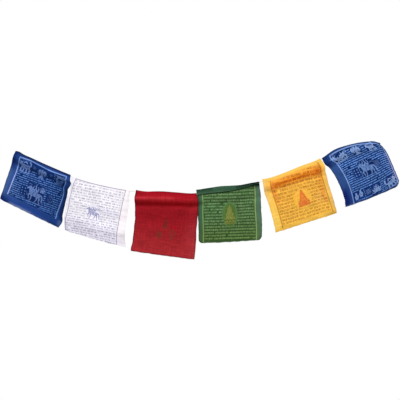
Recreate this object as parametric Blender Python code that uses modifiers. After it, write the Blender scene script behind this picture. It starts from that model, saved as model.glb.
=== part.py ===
"""A prayer flag string: six block-printed cotton flags threaded on one cord through their top hems.

The string hangs in a sagging line and its flags face -Y. Units are metres with +Z up, and the origin is
the left end of the cord. The tables give places in millimetres from that end, as read on the hung flags.
Each flag is one piece of cloth: its hem is turned round the cord, and its body hangs below with its folds.
"""

from typing import NamedTuple

import bmesh
import bpy
import numpy as np

MM = 0.001

CORD_DIAMETER = 1.6 * MM
CLOTH_THICKNESS = 1.2 * MM
HEM_CLEARANCE = 0.55 * MM
LOOP_RADIUS = CORD_DIAMETER / 2 + HEM_CLEARANCE + CLOTH_THICKNESS / 2
HEM_DEPTH = 10 * MM
HEM_EDGE_GAP = 2.0 * MM

STEPS_ACROSS = 12
HEM_STEPS = 2
LOOP_STEPS = 6
BODY_ROWS = (0.04, 0.075, 0.11, 0.145, 0.18, 0.215, 0.26, 0.33, 0.41, 0.5, 0.59, 0.67, 0.75, 0.83, 0.9, 0.955, 1.0)

# The line that the cord follows, from its left end: x and z in millimetres.
CORD_LINE = (
    (0, 0),
    (8, -2.0),
    (20, -10.0),
    (49, -23.5),
    (97, -45),
    (154, -69.3),
    (195, -83.5),
    (251, -98),
    (309, -109.5),
    (337, -112.5),
    (393, -115.0),
    (447, -118.3),
    (508, -119.6),
    (531, -114.5),
    (573, -108),
    (601, -104),
    (629, -98.5),
    (657, -91),
    (683, -86),
    (713, -77.8),
    (741, -66.2),
    (797, -42.5),
    (855, -22),
    (895, 3),
    (937, 18.2),
    (979, 26),
    (1001, 26.6),
    (1021, 20.2),
)


class Section(NamedTuple):
    """One level section of a hung flag: its side edges in millimetres, and how far it stands out to -Y."""

    down: float
    left_x: float
    left_z: float
    right_x: float
    right_z: float
    out_left: float
    out_middle: float
    out_right: float


class Fold(NamedTuple):
    """A soft ridge (height above 0) or trough, from one point of the flag to another, sized in millimetres."""

    from_across: float
    from_down: float
    to_across: float
    to_down: float
    width: float
    height: float


class Hem(NamedTuple):
    """One section of a hem turned to the front: how far it stands above the cord and reaches below it."""

    across: float
    rise: float
    reach: float


class Flag(NamedTuple):
    """One flag: its name and colour, its stretch of the cord, and its tables."""

    name: str
    colour: tuple
    cord_from: float
    cord_to: float
    bottom_sag: float
    sections: tuple
    folds: tuple
    front_hem: tuple = ()


FLAGS = (
    Flag(
        name="flag_1_blue",
        colour=(0.030, 0.075, 0.235, 1.0),
        cord_from=0.0,
        cord_to=153.7,
        bottom_sag=0.0,
        sections=(
            Section(0.20, -8.4, -28.0, 154.0, -97.4, 1, 2, 3),
            Section(0.30, -12.3, -41.4, 147.0, -112.0, 1, 2, 5),
            Section(0.50, -21.3, -67.8, 140.0, -141.1, 2, 4, 2),
            Section(0.75, -32.2, -100.8, 131.6, -177.5, 3, 5, 2),
            Section(0.92, -38.9, -122.1, 129.4, -200.5, 5, 5, 5),
            Section(1.00, -42.8, -133.0, 121.5, -213.4, 6, 5, 3),
        ),
        folds=(
            Fold(0.0, 0.11, 0.95, 0.12, 22, 5),
            Fold(0.0, 0.22, 0.90, 0.25, 14, -4),
            Fold(0.68, 0.04, 0.96, 0.10, 12, 3),
            Fold(1.0, 0.23, 0.84, 0.36, 14, 4),
            Fold(0.05, 0.62, 0.95, 0.55, 30, 2),
        ),
    ),
    Flag(
        name="flag_2_white",
        colour=(0.80, 0.79, 0.82, 1.0),
        cord_from=157.6,
        cord_to=320.2,
        bottom_sag=1.8,
        sections=(
            Section(0.20, 154.9, -101.9, 318.6, -142.5, 0, 1, 1),
            Section(0.40, 145.2, -131.6, 314.2, -172.5, 1, 2, 1),
            Section(0.60, 140.6, -160.7, 309.4, -203.3, 2, 3, 2),
            Section(0.80, 137.2, -189.8, 306.6, -234.1, 1, 2, 1),
            Section(1.00, 138.6, -219.0, 308.8, -266.0, -8, -6, -7),
        ),
        folds=(
            Fold(0.0, 0.10, 1.0, 0.10, 20, 3),
            Fold(0.0, 0.21, 1.0, 0.20, 14, -2),
            Fold(0.0, 0.72, 1.0, 0.74, 26, 2),
            Fold(0.35, 0.30, 0.62, 0.62, 36, -2),
        ),
    ),
    Flag(
        name="flag_3_red",
        colour=(0.36, 0.016, 0.022, 1.0),
        cord_from=337.0,
        cord_to=507.6,
        bottom_sag=0.6,
        sections=(
            Section(0.11, 333.6, -133.0, 509.0, -141.2, 2, 2, 2),
            Section(0.20, 335.0, -147.0, 509.4, -156.5, 0, 1, 0),
            Section(0.40, 335.8, -178.9, 508.6, -191.0, 2, 3, 1),
            Section(0.60, 332.9, -212.2, 505.9, -226.5, 3, 4, 1),
            Section(0.80, 329.6, -244.7, 503.9, -262.6, 4, 3, 1),
            Section(1.00, 323.7, -276.1, 499.2, -300.2, 6, 3, 2),
        ),
        folds=(
            Fold(0.0, 0.11, 1.0, 0.11, 22, 6),
            Fold(0.0, 0.22, 1.0, 0.22, 13, -5),
            Fold(0.0, 0.58, 1.0, 0.55, 40, 2),
        ),
    ),
    Flag(
        name="flag_4_green",
        colour=(0.050, 0.115, 0.042, 1.0),
        cord_from=509.9,
        cord_to=682.8,
        bottom_sag=1.4,
        sections=(
            Section(0.20, 513.0, -146.7, 686.6, -121.5, 2, 1, 1),
            Section(0.40, 513.3, -173.6, 687.9, -152.3, 3, 2, 2),
            Section(0.60, 513.8, -201.0, 689.9, -183.1, 4, 3, 2),
            Section(0.80, 514.2, -228.5, 691.0, -215.0, 5, 3, 3),
            Section(1.00, 514.6, -256.5, 689.4, -247.5, 6, 4, 4),
        ),
        folds=(
            Fold(0.0, 0.14, 1.0, 0.13, 18, 2),
            Fold(0.0, 0.24, 1.0, 0.24, 14, -2),
            Fold(0.0, 0.60, 1.0, 0.62, 34, 2),
        ),
        front_hem=(
            Hem(0.0, 9.4, 2.4),
            Hem(0.2, 9.0, 4.8),
            Hem(0.4, 9.0, 5.2),
            Hem(0.55, 6.5, 5.2),
            Hem(0.72, 2.6, 3.8),
            Hem(0.88, 0.8, 3.0),
            Hem(1.0, 0.2, 3.0),
        ),
    ),
    Flag(
        name="flag_5_yellow",
        colour=(0.80, 0.42, 0.045, 1.0),
        cord_from=692.7,
        cord_to=854.6,
        bottom_sag=-1.0,
        sections=(
            Section(0.10, 696.0, -101.0, 864.2, -37.0, 1, 1, 0),
            Section(0.20, 699.2, -115.4, 867.0, -53.2, 1, 2, 1),
            Section(0.40, 707.8, -143.9, 874.7, -81.8, 2, 2, 1),
            Section(0.60, 715.5, -170.8, 883.4, -112.0, 3, 3, 2),
            Section(0.80, 722.4, -196.6, 892.4, -142.8, 4, 4, 4),
            Section(1.00, 728.2, -224.4, 900.0, -170.8, 3, 2, 3),
        ),
        folds=(
            Fold(0.0, 0.10, 1.0, 0.12, 20, 5),
            Fold(0.0, 0.22, 1.0, 0.25, 13, -4),
            Fold(0.10, 0.60, 1.0, 0.64, 36, 2),
        ),
    ),
    Flag(
        name="flag_6_blue",
        colour=(0.036, 0.085, 0.260, 1.0),
        cord_from=858.7,
        cord_to=1021.0,
        bottom_sag=3.0,
        sections=(
            Section(0.10, 866.0, -35.5, 1030.6, 8.6, -4, 2, -4),
            Section(0.20, 877.4, -43.6, 1038.2, -2.8, -3, 3, -4),
            Section(0.40, 894.6, -68.3, 1050.6, -27.2, 0, 5, -1),
            Section(0.60, 908.6, -96.9, 1061.2, -50.4, 2, 5, 1),
            Section(0.80, 919.2, -127.1, 1071.2, -74.5, 4, 4, 2),
            Section(0.90, 921.8, -141.0, 1073.2, -85.0, 5, 3, 0),
            Section(1.00, 923.4, -154.4, 1069.6, -95.6, 6, 3, -3),
        ),
        folds=(
            Fold(0.0, 0.10, 0.80, 0.12, 18, 3),
            Fold(0.0, 0.24, 1.0, 0.24, 16, -3),
            Fold(0.02, 0.02, 0.10, 0.40, 14, 3),
            Fold(0.15, 0.62, 1.0, 0.56, 34, 2),
        ),
    ),
)


def smooth_through(stations, rows, wanted):
    """Read a smooth curve through the rows, which stand at rising stations, at each wanted station."""
    stations = np.asarray(stations, dtype=float)
    rows = np.asarray(rows, dtype=float)
    slopes = np.gradient(rows, stations, axis=0)
    before = np.clip(np.searchsorted(stations, wanted, side="right") - 1, 0, len(stations) - 2)
    span = stations[before + 1] - stations[before]
    share = (np.asarray(wanted) - stations[before]) / span
    shape = (-1,) + (1,) * (rows.ndim - 1)
    share = share.reshape(shape)
    span = span.reshape(shape)
    start = (1 + 2 * share) * (1 - share) ** 2 * rows[before]
    finish = share**2 * (3 - 2 * share) * rows[before + 1]
    start_slope = share * (1 - share) ** 2 * span * slopes[before]
    finish_slope = share**2 * (share - 1) * span * slopes[before + 1]
    return start + finish + start_slope + finish_slope


def cord_heights(along):
    """Height of the cord's centre at each distance along X, in millimetres."""
    line = np.array(CORD_LINE, dtype=float)
    return smooth_through(line[:, 0], line[:, 1], along)


def cord_points(flag):
    """Centre of the cord at each of a flag's stations, as rows of x and z in millimetres."""
    along = np.linspace(flag.cord_from, flag.cord_to, STEPS_ACROSS + 1)
    return np.column_stack((along, cord_heights(along)))


def upward(points):
    """Unit vectors square to a line of points, pointing up."""
    run = np.gradient(points, axis=0)
    normals = np.column_stack((-run[:, 1], run[:, 0]))
    return normals / np.linalg.norm(normals, axis=1)[:, None]


def fold_depth(flag, across, down, width, drop):
    """How far the flag's folds push each point out, in millimetres."""
    depth = np.zeros_like(across)
    place = np.stack((across * width, down * drop), axis=-1)
    for fold in flag.folds:
        begin = np.array((fold.from_across * width, fold.from_down * drop))
        crease = np.array((fold.to_across * width, fold.to_down * drop)) - begin
        share = np.clip((place - begin) @ crease / (crease @ crease), 0, 1)
        distance = np.linalg.norm(place - begin - share[..., None] * crease, axis=-1)
        depth += fold.height * np.exp(-((distance / (fold.width / 2)) ** 2))
    return depth


def body_points(flag, downs):
    """Places on a flag's body, as an array of rows down the cloth and stations across, in millimetres."""
    top = cord_points(flag)
    stations = [0.0] + [section.down for section in flag.sections]
    sides = [(*top[0], *top[-1], 0, 0, 0)] + [section[1:] for section in flag.sections]
    rows = smooth_through(stations, sides, downs)
    across = np.linspace(0, 1, STEPS_ACROSS + 1)
    down = np.asarray(downs)[:, None]
    straight = rows[:, None, 0:2] * (1 - across[:, None]) + rows[:, None, 2:4] * across[:, None]
    top_bow = top - (top[0] * (1 - across[:, None]) + top[-1] * across[:, None])
    flat = straight + top_bow * (1 - down)[..., None]
    flat[..., 1] -= flag.bottom_sag * 4 * across * (1 - across) * down
    left = rows[:, 4:5] * (1 - across) * (1 - 2 * across)
    middle = rows[:, 5:6] * 4 * across * (1 - across)
    right = rows[:, 6:7] * across * (2 * across - 1)
    width = np.linalg.norm(top[-1] - top[0])
    drop = np.linalg.norm(np.array(flag.sections[-1][1:3]) - top[0])
    grid_across = np.broadcast_to(across, left.shape)
    grid_down = np.broadcast_to(down, left.shape)
    out = left + middle + right + fold_depth(flag, grid_across, grid_down, width, drop)
    out *= np.minimum(grid_down / BODY_ROWS[1], 1)
    return np.dstack((flat[..., 0], -out, flat[..., 1]))


def flag_rows(flag):
    """All rows of a flag's cloth in order, from the hem's free edge, over the cord, to the bottom edge."""
    radius = LOOP_RADIUS / MM
    side = -1 if flag.front_hem else 1
    top = cord_points(flag)
    up = upward(top)
    across = np.linspace(0, 1, STEPS_ACROSS + 1)
    rise = np.zeros_like(across)
    reach = np.full_like(across, HEM_DEPTH / MM)
    edge_gap = HEM_EDGE_GAP / MM
    if flag.front_hem:
        table = np.array(flag.front_hem)
        rise = np.interp(across, table[:, 0], table[:, 1])
        reach = np.interp(across, table[:, 0], table[:, 2])
        edge_gap = 2 * radius
    drop = np.linalg.norm(np.array(flag.sections[-1][1:3]) - top[0])

    rows = []
    for step in range(HEM_STEPS):
        share = 1 - step / HEM_STEPS
        downs = share * reach / drop
        leg = np.array([body_points(flag, [down])[0, index] for index, down in enumerate(downs)])
        gap = 2 * radius - (2 * radius - edge_gap) * share
        leg[:, 1] += side * (gap - radius)
        rows.append(leg)
    for angle in np.linspace(0, np.pi, LOOP_STEPS + 1):
        height = rise + radius * np.sin(angle)
        place = top + up * height[:, None]
        outward = np.full_like(across, side * radius * np.cos(angle))
        rows.append(np.column_stack((place[:, 0], outward, place[:, 1])))
    body = body_points(flag, BODY_ROWS)
    body[..., 1] -= side * radius
    rows.extend(body)
    return np.array(rows) * MM


def make_material(name, colour, roughness):
    """A plain cloth material of one colour."""
    material = bpy.data.materials.new(name)
    material.use_nodes = True
    shader = material.node_tree.nodes["Principled BSDF"]
    shader.inputs["Base Color"].default_value = colour
    shader.inputs["Roughness"].default_value = roughness
    shader.inputs["Metallic"].default_value = 0.0
    return material


def make_flag(flag, collection):
    """One flag: a grid laid along its rows, then given the cloth's thickness."""
    rows = flag_rows(flag)
    steps_down = len(rows) - 1
    shape = bmesh.new()
    bmesh.ops.create_grid(shape, x_segments=STEPS_ACROSS, y_segments=steps_down, size=0.5)
    for vertex in shape.verts:
        station = round((vertex.co.x + 0.5) * STEPS_ACROSS)
        row = round((vertex.co.y + 0.5) * steps_down)
        vertex.co = rows[row, station]
    mesh = bpy.data.meshes.new(flag.name)
    shape.to_mesh(mesh)
    shape.free()
    mesh.materials.append(make_material(flag.name + "_cotton", flag.colour, 0.9))
    piece = bpy.data.objects.new(flag.name, mesh)
    collection.objects.link(piece)
    cloth = piece.modifiers.new("Cloth thickness", "SOLIDIFY")
    cloth.thickness = CLOTH_THICKNESS
    cloth.offset = 0.0
    cloth.use_even_offset = True


def make_cord(collection):
    """The cord that carries the flags: one tube with a point at each station of each flag."""
    places = np.vstack([cord_points(flag) for flag in FLAGS]) * MM
    curve = bpy.data.curves.new("header_cord", "CURVE")
    curve.dimensions = "3D"
    curve.bevel_depth = CORD_DIAMETER / 2
    curve.bevel_resolution = 2
    curve.use_fill_caps = True
    spline = curve.splines.new("POLY")
    spline.points.add(len(places) - 1)
    for point, (x, z) in zip(spline.points, places):
        point.co = (x, 0.0, z, 1.0)
    curve.materials.append(make_material("header_cord_cotton", (0.78, 0.77, 0.73, 1.0), 0.85))
    collection.objects.link(bpy.data.objects.new("header_cord", curve))


def main():
    """Clear the scene and build the string."""
    for old in list(bpy.data.objects):
        bpy.data.objects.remove(old, do_unlink=True)
    collection = bpy.data.collections.new("Prayer flag string")
    bpy.context.scene.collection.children.link(collection)
    make_cord(collection)
    for flag in FLAGS:
        make_flag(flag, collection)


main()
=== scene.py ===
"""Looks of a prayer flag string: six block-printed cotton flags on a twisted cotton cord.

The string hangs in the part's own frame, in metres, with +Z up and the printed faces to -Y. The tables give
places in millimetres from the cord's left end, and shares of each flag's width and drop. Every flag is one
thin sheet of cotton on its solid's folds, with finer creases, and its print follows the cloth.
"""

import logging
from collections.abc import Sequence
from dataclasses import dataclass
from enum import Enum
from typing import Any, NamedTuple

import bmesh
import bpy
import numpy as np
from mathutils import Matrix, Vector

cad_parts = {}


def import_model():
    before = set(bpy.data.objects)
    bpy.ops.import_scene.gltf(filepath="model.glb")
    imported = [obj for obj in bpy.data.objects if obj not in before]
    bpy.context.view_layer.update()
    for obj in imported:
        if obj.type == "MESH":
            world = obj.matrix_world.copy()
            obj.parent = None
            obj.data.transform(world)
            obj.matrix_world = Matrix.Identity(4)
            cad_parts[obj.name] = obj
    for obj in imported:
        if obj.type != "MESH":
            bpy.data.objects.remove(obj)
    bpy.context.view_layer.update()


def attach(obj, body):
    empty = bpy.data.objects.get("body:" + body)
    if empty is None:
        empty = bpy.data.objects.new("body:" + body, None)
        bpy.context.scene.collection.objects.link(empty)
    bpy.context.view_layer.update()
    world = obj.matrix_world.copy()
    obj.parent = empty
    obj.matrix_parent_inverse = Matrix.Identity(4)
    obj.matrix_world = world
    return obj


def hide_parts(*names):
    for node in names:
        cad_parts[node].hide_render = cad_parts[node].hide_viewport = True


LOG = logging.getLogger("prayer_flags")
MM = 0.001
PHOTO_WIDTH_MM = 1120.0
Grid = np.ndarray

# The line that the cord follows, from its left end: x and z in millimetres.
CORD_LINE = (
    (0, 0), (8, -2.0), (20, -10.0), (49, -23.5), (97, -45), (154, -69.3), (195, -83.5), (251, -98),
    (309, -109.5), (337, -112.5), (393, -115.0), (447, -118.3), (508, -119.6), (531, -114.5), (573, -108),
    (601, -104), (629, -98.5), (657, -91), (683, -86), (713, -77.8), (741, -66.2), (797, -42.5), (855, -22),
    (895, 3), (937, 18.2), (979, 26), (1001, 26.6), (1021, 20.2),
)


class HemSide(Enum):
    """The side of the flag to which its top hem is turned."""

    BACK = 1
    FRONT = -1


class Ink(Enum):
    """What a figure of the block is printed with."""

    MAIN = "main"
    SECOND = "second"
    GROUND = "ground"


class Section(NamedTuple):
    """One level section of a hung flag: its side edges in millimetres, and how far it stands out to -Y."""

    down: float
    left_x: float
    left_z: float
    right_x: float
    right_z: float
    out_left: float
    out_middle: float
    out_right: float


class Fold(NamedTuple):
    """A soft ridge, or a trough where its height is below 0, between two points, sized in millimetres."""

    from_across: float
    from_down: float
    to_across: float
    to_down: float
    width: float
    height: float


class Hem(NamedTuple):
    """One section of the top hem: how far it stands above the cord and reaches below it, in millimetres."""

    across: float
    rise: float
    reach: float = 10.0


class ToneAndPaintedLight(NamedTuple):
    """A soft change of the dye's tone and of painted light and shade along a line: its width in millimetres,
    colour, strength and painted brightness.
    """

    from_across: float
    from_down: float
    to_across: float
    to_down: float
    width: float
    colour: str
    amount: float
    painted_light: float = 1.0


class Mark(NamedTuple):
    """A point that the edge of the print passes: at this share along, it lies at that share."""

    at: float
    place: float


class Chain(NamedTuple):
    """A stroke of the block through points of x, y and half width in millimetres, x right and y down."""

    points: tuple[tuple[float, float, float], ...]
    cut: bool = False

    def depth(self, x: Grid, y: Grid) -> Grid:
        """How far inside the stroke each point lies, in millimetres, negative outside.

        Args:
            x: places across, in millimetres.
            y: places down, in millimetres.

        Returns:
            The depth at each point.
        """
        if len(self.points) == 1:
            centre_x, centre_y, radius = self.points[0]
            return radius - np.hypot(x - centre_x, y - centre_y)
        best = np.full_like(x, -np.inf)
        for (x0, y0, r0), (x1, y1, r1) in zip(self.points, self.points[1:]):
            run_x, run_y = x1 - x0, y1 - y0
            share = np.clip(((x - x0) * run_x + (y - y0) * run_y) / (run_x**2 + run_y**2), 0, 1)
            reach = np.hypot(x - x0 - share * run_x, y - y0 - share * run_y)
            best = np.maximum(best, r0 + (r1 - r0) * share - reach)
        return best


class Oval(NamedTuple):
    """A filled oval of the block, or its outline where ring is above 0. Sizes are in millimetres."""

    x: float
    y: float
    half_wide: float
    half_tall: float
    turn: float = 0.0
    ring: float = 0.0
    cut: bool = False

    def depth(self, x: Grid, y: Grid) -> Grid:
        """How far inside the oval or its outline each point lies, in millimetres, negative outside.

        Args:
            x: places across, in millimetres.
            y: places down, in millimetres.

        Returns:
            The depth at each point.
        """
        angle = np.radians(self.turn)
        across = (x - self.x) * np.cos(angle) + (y - self.y) * np.sin(angle)
        down = (y - self.y) * np.cos(angle) - (x - self.x) * np.sin(angle)
        reach = np.hypot(across / self.half_wide, down / self.half_tall)
        inside = (1 - reach) * min(self.half_wide, self.half_tall)
        return self.ring / 2 - np.abs(inside) if self.ring else inside


class Box(NamedTuple):
    """A rectangle of the block with soft corners, or its outline where ring is above 0, in millimetres."""

    x: float
    y: float
    half_wide: float
    half_tall: float
    ring: float = 0.0
    cut: bool = False

    def depth(self, x: Grid, y: Grid) -> Grid:
        """How far inside the rectangle or its outline each point lies, in millimetres, negative outside."""
        inside = np.minimum(self.half_wide - np.abs(x - self.x), self.half_tall - np.abs(y - self.y))
        return self.ring / 2 - np.abs(inside) if self.ring else inside


def mirrored(*chains: Chain) -> tuple[Chain, ...]:
    """The strokes given, and the same strokes across the upright axis."""
    turned = tuple(Chain(tuple((-x, y, r) for x, y, r in chain.points), chain.cut) for chain in chains)
    return chains + turned


HORSE = (
    Chain(((-13, -1, 5.2), (-8, 2, 6.6), (8, 3, 6.0), (12, 2, 5.0))),
    Chain(((-12, -2, 4.8), (-16.5, -10, 3.6), (-18, -13, 3.2))),
    Chain(((-18, -13.5, 3.1), (-24.5, -8.5, 1.9))), Chain(((-17, -16, 1.1), (-15.5, -19.5, 0.4))),
    Chain(((-14.5, -15, 1.7), (-10.5, -11, 1.2), (-7, -11.5, 0.5))),
    Chain(((-12.5, -10, 1.6), (-8.5, -6.5, 1.1), (-6, -7.5, 0.4))),
    Chain(((-14, 4, 2.8), (-19, 10, 1.7), (-15.5, 17, 1.2), (-18, 19, 1.3))),
    Chain(((-9, 6, 2.6), (-9.5, 15, 1.5), (-11.5, 22.5, 1.2), (-13.5, 23.5, 1.2))),
    Chain(((6, 7, 3.0), (7.5, 14, 1.7), (3.5, 22, 1.2), (1.5, 23, 1.2))),
    Chain(((11, 5, 3.8), (15.5, 12.5, 2.0), (13.5, 18, 1.3), (17, 23, 1.3), (15, 24, 1.1))),
    Chain(((15, -1, 1.5), (20, 1, 2.2), (23, 9, 2.4), (22, 16, 1.6), (25.5, 22, 0.5))),
    Chain(((-4.5, -6, 0.55), (-6, 9.5, 0.55)), cut=True),
    Chain(((4.5, -5, 0.55), (5.5, 9.5, 0.55)), cut=True), Chain(((-21, -12, 0.7),), cut=True),
    Chain(((-6.5, -5.6, 1.1), (0, -4.2, 1.5), (6.5, -5.6, 1.1))), Chain(((-3.4, -9, 2.7),)),
    Chain(((3.4, -9, 2.7),)), Chain(((0, -13, 2.9),)),
    Chain(((-7.5, -8, 1.3), (-9, -14, 1.5), (-5.5, -19, 1.0), (-6.5, -22, 0.3))),
    Chain(((7.5, -8, 1.3), (9, -14, 1.5), (5.5, -19, 1.0), (6.5, -22, 0.3))),
    Chain(((0, -17, 1.5), (-1.2, -21, 1.2), (0.6, -26, 0.3))),
    Chain(((-25, 25.5, 0.6), (-8, 26.5, 0.7), (6, 25.8, 0.5), (25, 26.5, 0.6))),
    Chain(((12, -19, 0.6), (16, -22, 0.8), (20, -20, 0.8), (24, -22.5, 0.5))),
    Chain(((13, -10, 0.6), (18, -12.5, 0.8), (24, -10, 0.5))),
    Chain(((-24, -20, 0.6), (-20, -22.5, 0.8), (-12, -21, 0.4))),
    Chain(((-25, 2, 0.6), (-22.5, 7, 0.7), (-24, 13, 0.5))),
)

BIRD = (
    Oval(0, 2, 4.4, 7), Chain(((0, -7.5, 3.2),)), Chain(((0, 9, 3.0), (0, 13.5, 1.6))),
    Chain(((-9, 13.5, 0.9), (9, 13.5, 0.9))), Oval(0, 1.5, 2.0, 3.6, ring=0.7, cut=True),
    *mirrored(
        Chain(((-1.6, -9.5, 1.0), (-4, -13.5, 0.4))),
        Chain(((-3, -3, 2.4), (-8.5, -8, 2.6), (-12.5, -5, 1.8))), Chain(((-12.5, -5, 1.7), (-13, 4, 0.6))),
        Chain(((-10, -6, 1.6), (-10.4, 6.5, 0.6))), Chain(((-7, -5.5, 1.6), (-7.6, 7.5, 0.6))),
        Chain(((-2.4, 8, 1.5), (-5.6, 11.5, 1.1), (-7.5, 12.5, 0.7))),
    ),
)

DRAGON = (
    Chain(
        (
            (-11, -3, 3.4), (-7, 2.5, 3.8), (-1, 3.8, 3.8), (4, -1, 3.6), (9, -2.5, 3.2), (13.5, 2, 2.2),
            (11, 7, 0.9),
        )
    ),
    Oval(-12.6, -5.6, 3.6, 2.7, turn=14), Chain(((-14.5, -6.6, 1.3), (-18.2, -7.6, 0.7))),
    Chain(((-14, -4.2, 1.0), (-17.4, -3.2, 0.5))), Chain(((-12, -8, 0.9), (-8.5, -12, 0.4))),
    Chain(((-10, -7, 0.9), (-5.5, -9, 0.4))), Chain(((-7.5, 4, 1.5), (-10.5, 8.5, 1.1), (-13, 9.5, 0.6))),
    Chain(((-0.5, 5, 1.5), (-1.5, 9.5, 1.1), (-4, 10.5, 0.6))),
    Chain(((5.5, 0, 1.4), (6.5, 6, 1.1), (4.5, 9, 0.6))), Chain(((9.5, -4, 1.3), (13, -7.5, 0.6))),
    Chain(((-5, 0, 1.1), (-3.5, -4.5, 0.4))), Chain(((1, 0, 1.1), (1.5, -6, 0.4))),
    Chain(((6, -4, 1.1), (6.5, -9, 0.4))),
    Chain(((-8, 1, 0.5), (-1, 3.4, 0.5), (4, -1, 0.5), (9, -2, 0.4)), cut=True),
    Oval(15.5, -5.5, 3.0, 1.8, ring=0.9),
    Chain(((-15, 8.5, 1.4), (-4, 10.2, 1.6), (8, 9.6, 1.4), (15, 8, 1.0))),
)

LION = (
    Chain(((-14, 14.6, 1.0), (0, 15.6, 1.2), (14, 14.6, 1.0))),
    Chain(((-4, -9, 1.5), (1, -11.5, 1.8), (5, -7.5, 1.3))),
    Chain(((-7, 0, 5.2), (1, 1.2, 5.0), (7, 0.5, 5.0))), Oval(-11.5, -5, 5.2, 4.8),
    Chain(((-15, -3.4, 1.7), (-17, -2.6, 1.2))), Chain(((-13.5, -9, 1.1), (-15, -11.4, 0.5))),
    Chain(((-9, -9, 1.2), (-8, -11.8, 0.5))),
    Chain(((-9, 3, 2.3), (-12, 8.5, 1.7), (-11, 13, 1.4), (-14, 13.6, 1.2))),
    Chain(((-5, 4, 2.1), (-4.5, 9, 1.6), (-5.5, 13, 1.4), (-8, 13.6, 1.0))),
    Chain(((4, 4, 2.3), (3, 9, 1.6), (4.5, 13, 1.4), (1.8, 13.6, 1.0))),
    Chain(((9, 2, 3.0), (12.5, 7.5, 1.8), (10.5, 11, 1.3), (12.5, 13, 1.3))),
    Chain(((11, -1, 1.6), (15, -4, 1.6), (15.5, -9, 2.0), (12, -13, 2.2), (14.5, -15, 0.8))),
    Chain(((-13.4, -5.8, 0.6),), cut=True),
    Chain(((-8.6, -8, 0.5), (-7.2, -4, 0.5), (-9, -0.6, 0.5)), cut=True),
    Chain(((-2.5, -3, 0.5), (-1.5, 2.5, 0.5)), cut=True), Chain(((2, -2.5, 0.5), (3, 3, 0.5)), cut=True),
    Chain(((6.5, -3, 0.5), (7.5, 2.5, 0.5)), cut=True),
)

VASES = (
    Oval(-6.6, 1.5, 5.4, 5.8), Oval(6.6, -1.5, 5.4, 5.8), Chain(((-6.6, -3, 1.6), (-6.6, -7, 2.4))),
    Chain(((6.6, -6, 1.6), (6.6, -10, 2.4))), Chain(((-10, 8, 0.9), (-3, 8, 0.9))),
    Chain(((3, 5, 0.9), (10, 5, 0.9))), Oval(-6.6, 1.5, 2.6, 2.8, ring=0.9, cut=True),
    Oval(6.6, -1.5, 2.6, 2.8, ring=0.9, cut=True),
)

LOTUS = (
    Oval(0, 1, 3.2, 6.4), Chain(((-8, 9, 1.0), (8, 9, 1.0))), Chain(((0, -7, 1.6), (0.8, -12, 0.4))),
    *mirrored(
        Chain(((-2.5, 6, 2.2), (-6.5, -1, 2.2), (-7, -6, 0.7))),
        Chain(((-5, 7, 1.8), (-11, 2.5, 1.8), (-13, -2, 0.6))), Chain(((-3.4, -7, 1.1), (-5.4, -11, 0.4))),
        Chain(((-7, 10.5, 1.2), (-13, 8, 0.9), (-15, 10, 0.4))),
    ),
    Chain(((0, -3, 0.5), (0, 5, 0.5)), cut=True),
)

JEWEL_FLAME = (
    Chain(((0, 0, 3.0),)), Chain(((0, -2, 2.2), (1.0, -6, 1.3), (0, -9, 0.3))),
    *mirrored(Chain(((-3.5, 2, 1.2), (-5, -2, 1.2), (-3.4, -6, 0.4)))),
    Chain(((-5, 4.5, 0.9), (5, 4.5, 0.9))),
)

MANDORLA = (
    Oval(0, 0, 20, 32, ring=2.4),
    *(
        Oval(15.6 * np.sin(angle), 1 - 26.5 * np.cos(angle), 1.3, 1.5)
        for angle in np.linspace(-2.3, 2.3, 17)
    ),
)

SEATED_FORM = (
    Oval(0, -13.0, 6.6, 7.6), Oval(0, -13.0, 4.4, 5.2, ring=0.8, cut=True),
    Chain(((0, -20.5, 2.0), (0, -23.5, 0.6))), Chain(((0, -5, 5.6), (0, 5, 5.8))),
    *mirrored(
        Chain(((-4, -5, 3.0), (-8.6, 0, 2.4), (-7.5, 6, 1.8), (-2, 7.5, 1.5))),
        Chain(((-12.5, 10, 2.6), (-5, 9, 3.2), (0, 10.5, 3.0))),
        Chain(((-12, 18.5, 2.2), (-8.5, 16, 1.9), (-6, 19.5, 2.2))),
        Chain(((-13.5, 22.5, 1.1), (0, 24, 1.3))),
        Chain(((-4, -6.5, 0.5), (-5.6, 0, 0.5), (-4.4, 5.5, 0.5)), cut=True),
        Chain(((-12, 12.6, 0.5), (0, 13.8, 0.5)), cut=True),
    ),
    Chain(((-3, 19, 2.0), (0, 16.5, 2.2), (3, 19, 2.0))),
    Chain(((-2.6, -3.5, 0.45), (2.2, 3.5, 0.45)), cut=True),
)

ARCH = mirrored(Chain(((0, -23, 0.9), (12, -14, 0.9), (17, 4, 0.9), (17, 23, 0.9))))

ROBED_CONE = (
    Chain(((0, -24, 1.4), (0, -9, 6.8), (0, 6, 12.0))), Chain(((-15.5, 19, 2.6), (15.5, 19, 2.6))),
    Chain(((-9, 12, 7.6), (9, 12, 7.6))), Chain(((-3, 1, 0.5), (-10, 15, 0.5)), cut=True),
    Chain(((3, 1, 0.5), (10, 15, 0.5)), cut=True), Oval(0, -6, 2.0, 2.6, ring=0.6, cut=True),
)

DOT_BLOCK = tuple(Chain(((x, y, 1.7),)) for x in (-4.4, 4.4) for y in (-7.6, 0.0, 7.6))

LATTICE_BLOCK = (
    Box(0, 0, 6.2, 6.8, ring=0.9), Chain(((-2.1, -6, 0.45), (-2.1, 6, 0.45))),
    Chain(((2.1, -6, 0.45), (2.1, 6, 0.45))), Chain(((-5.6, -2.2, 0.45), (5.6, -2.2, 0.45))),
    Chain(((-5.6, 2.2, 0.45), (5.6, 2.2, 0.45))),
)

SHELL_BLOCK = (
    Oval(3.5, 0, 5.6, 8.4, ring=0.9), Oval(2.2, 0, 9.4, 11.5, ring=0.8), Chain(((4, 0, 1.6),)),
)

SMALL_FLOWER = (
    Chain(((0, 0, 1.5),)), Oval(0, 0, 4.4, 4.0, ring=0.8),
)


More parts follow.
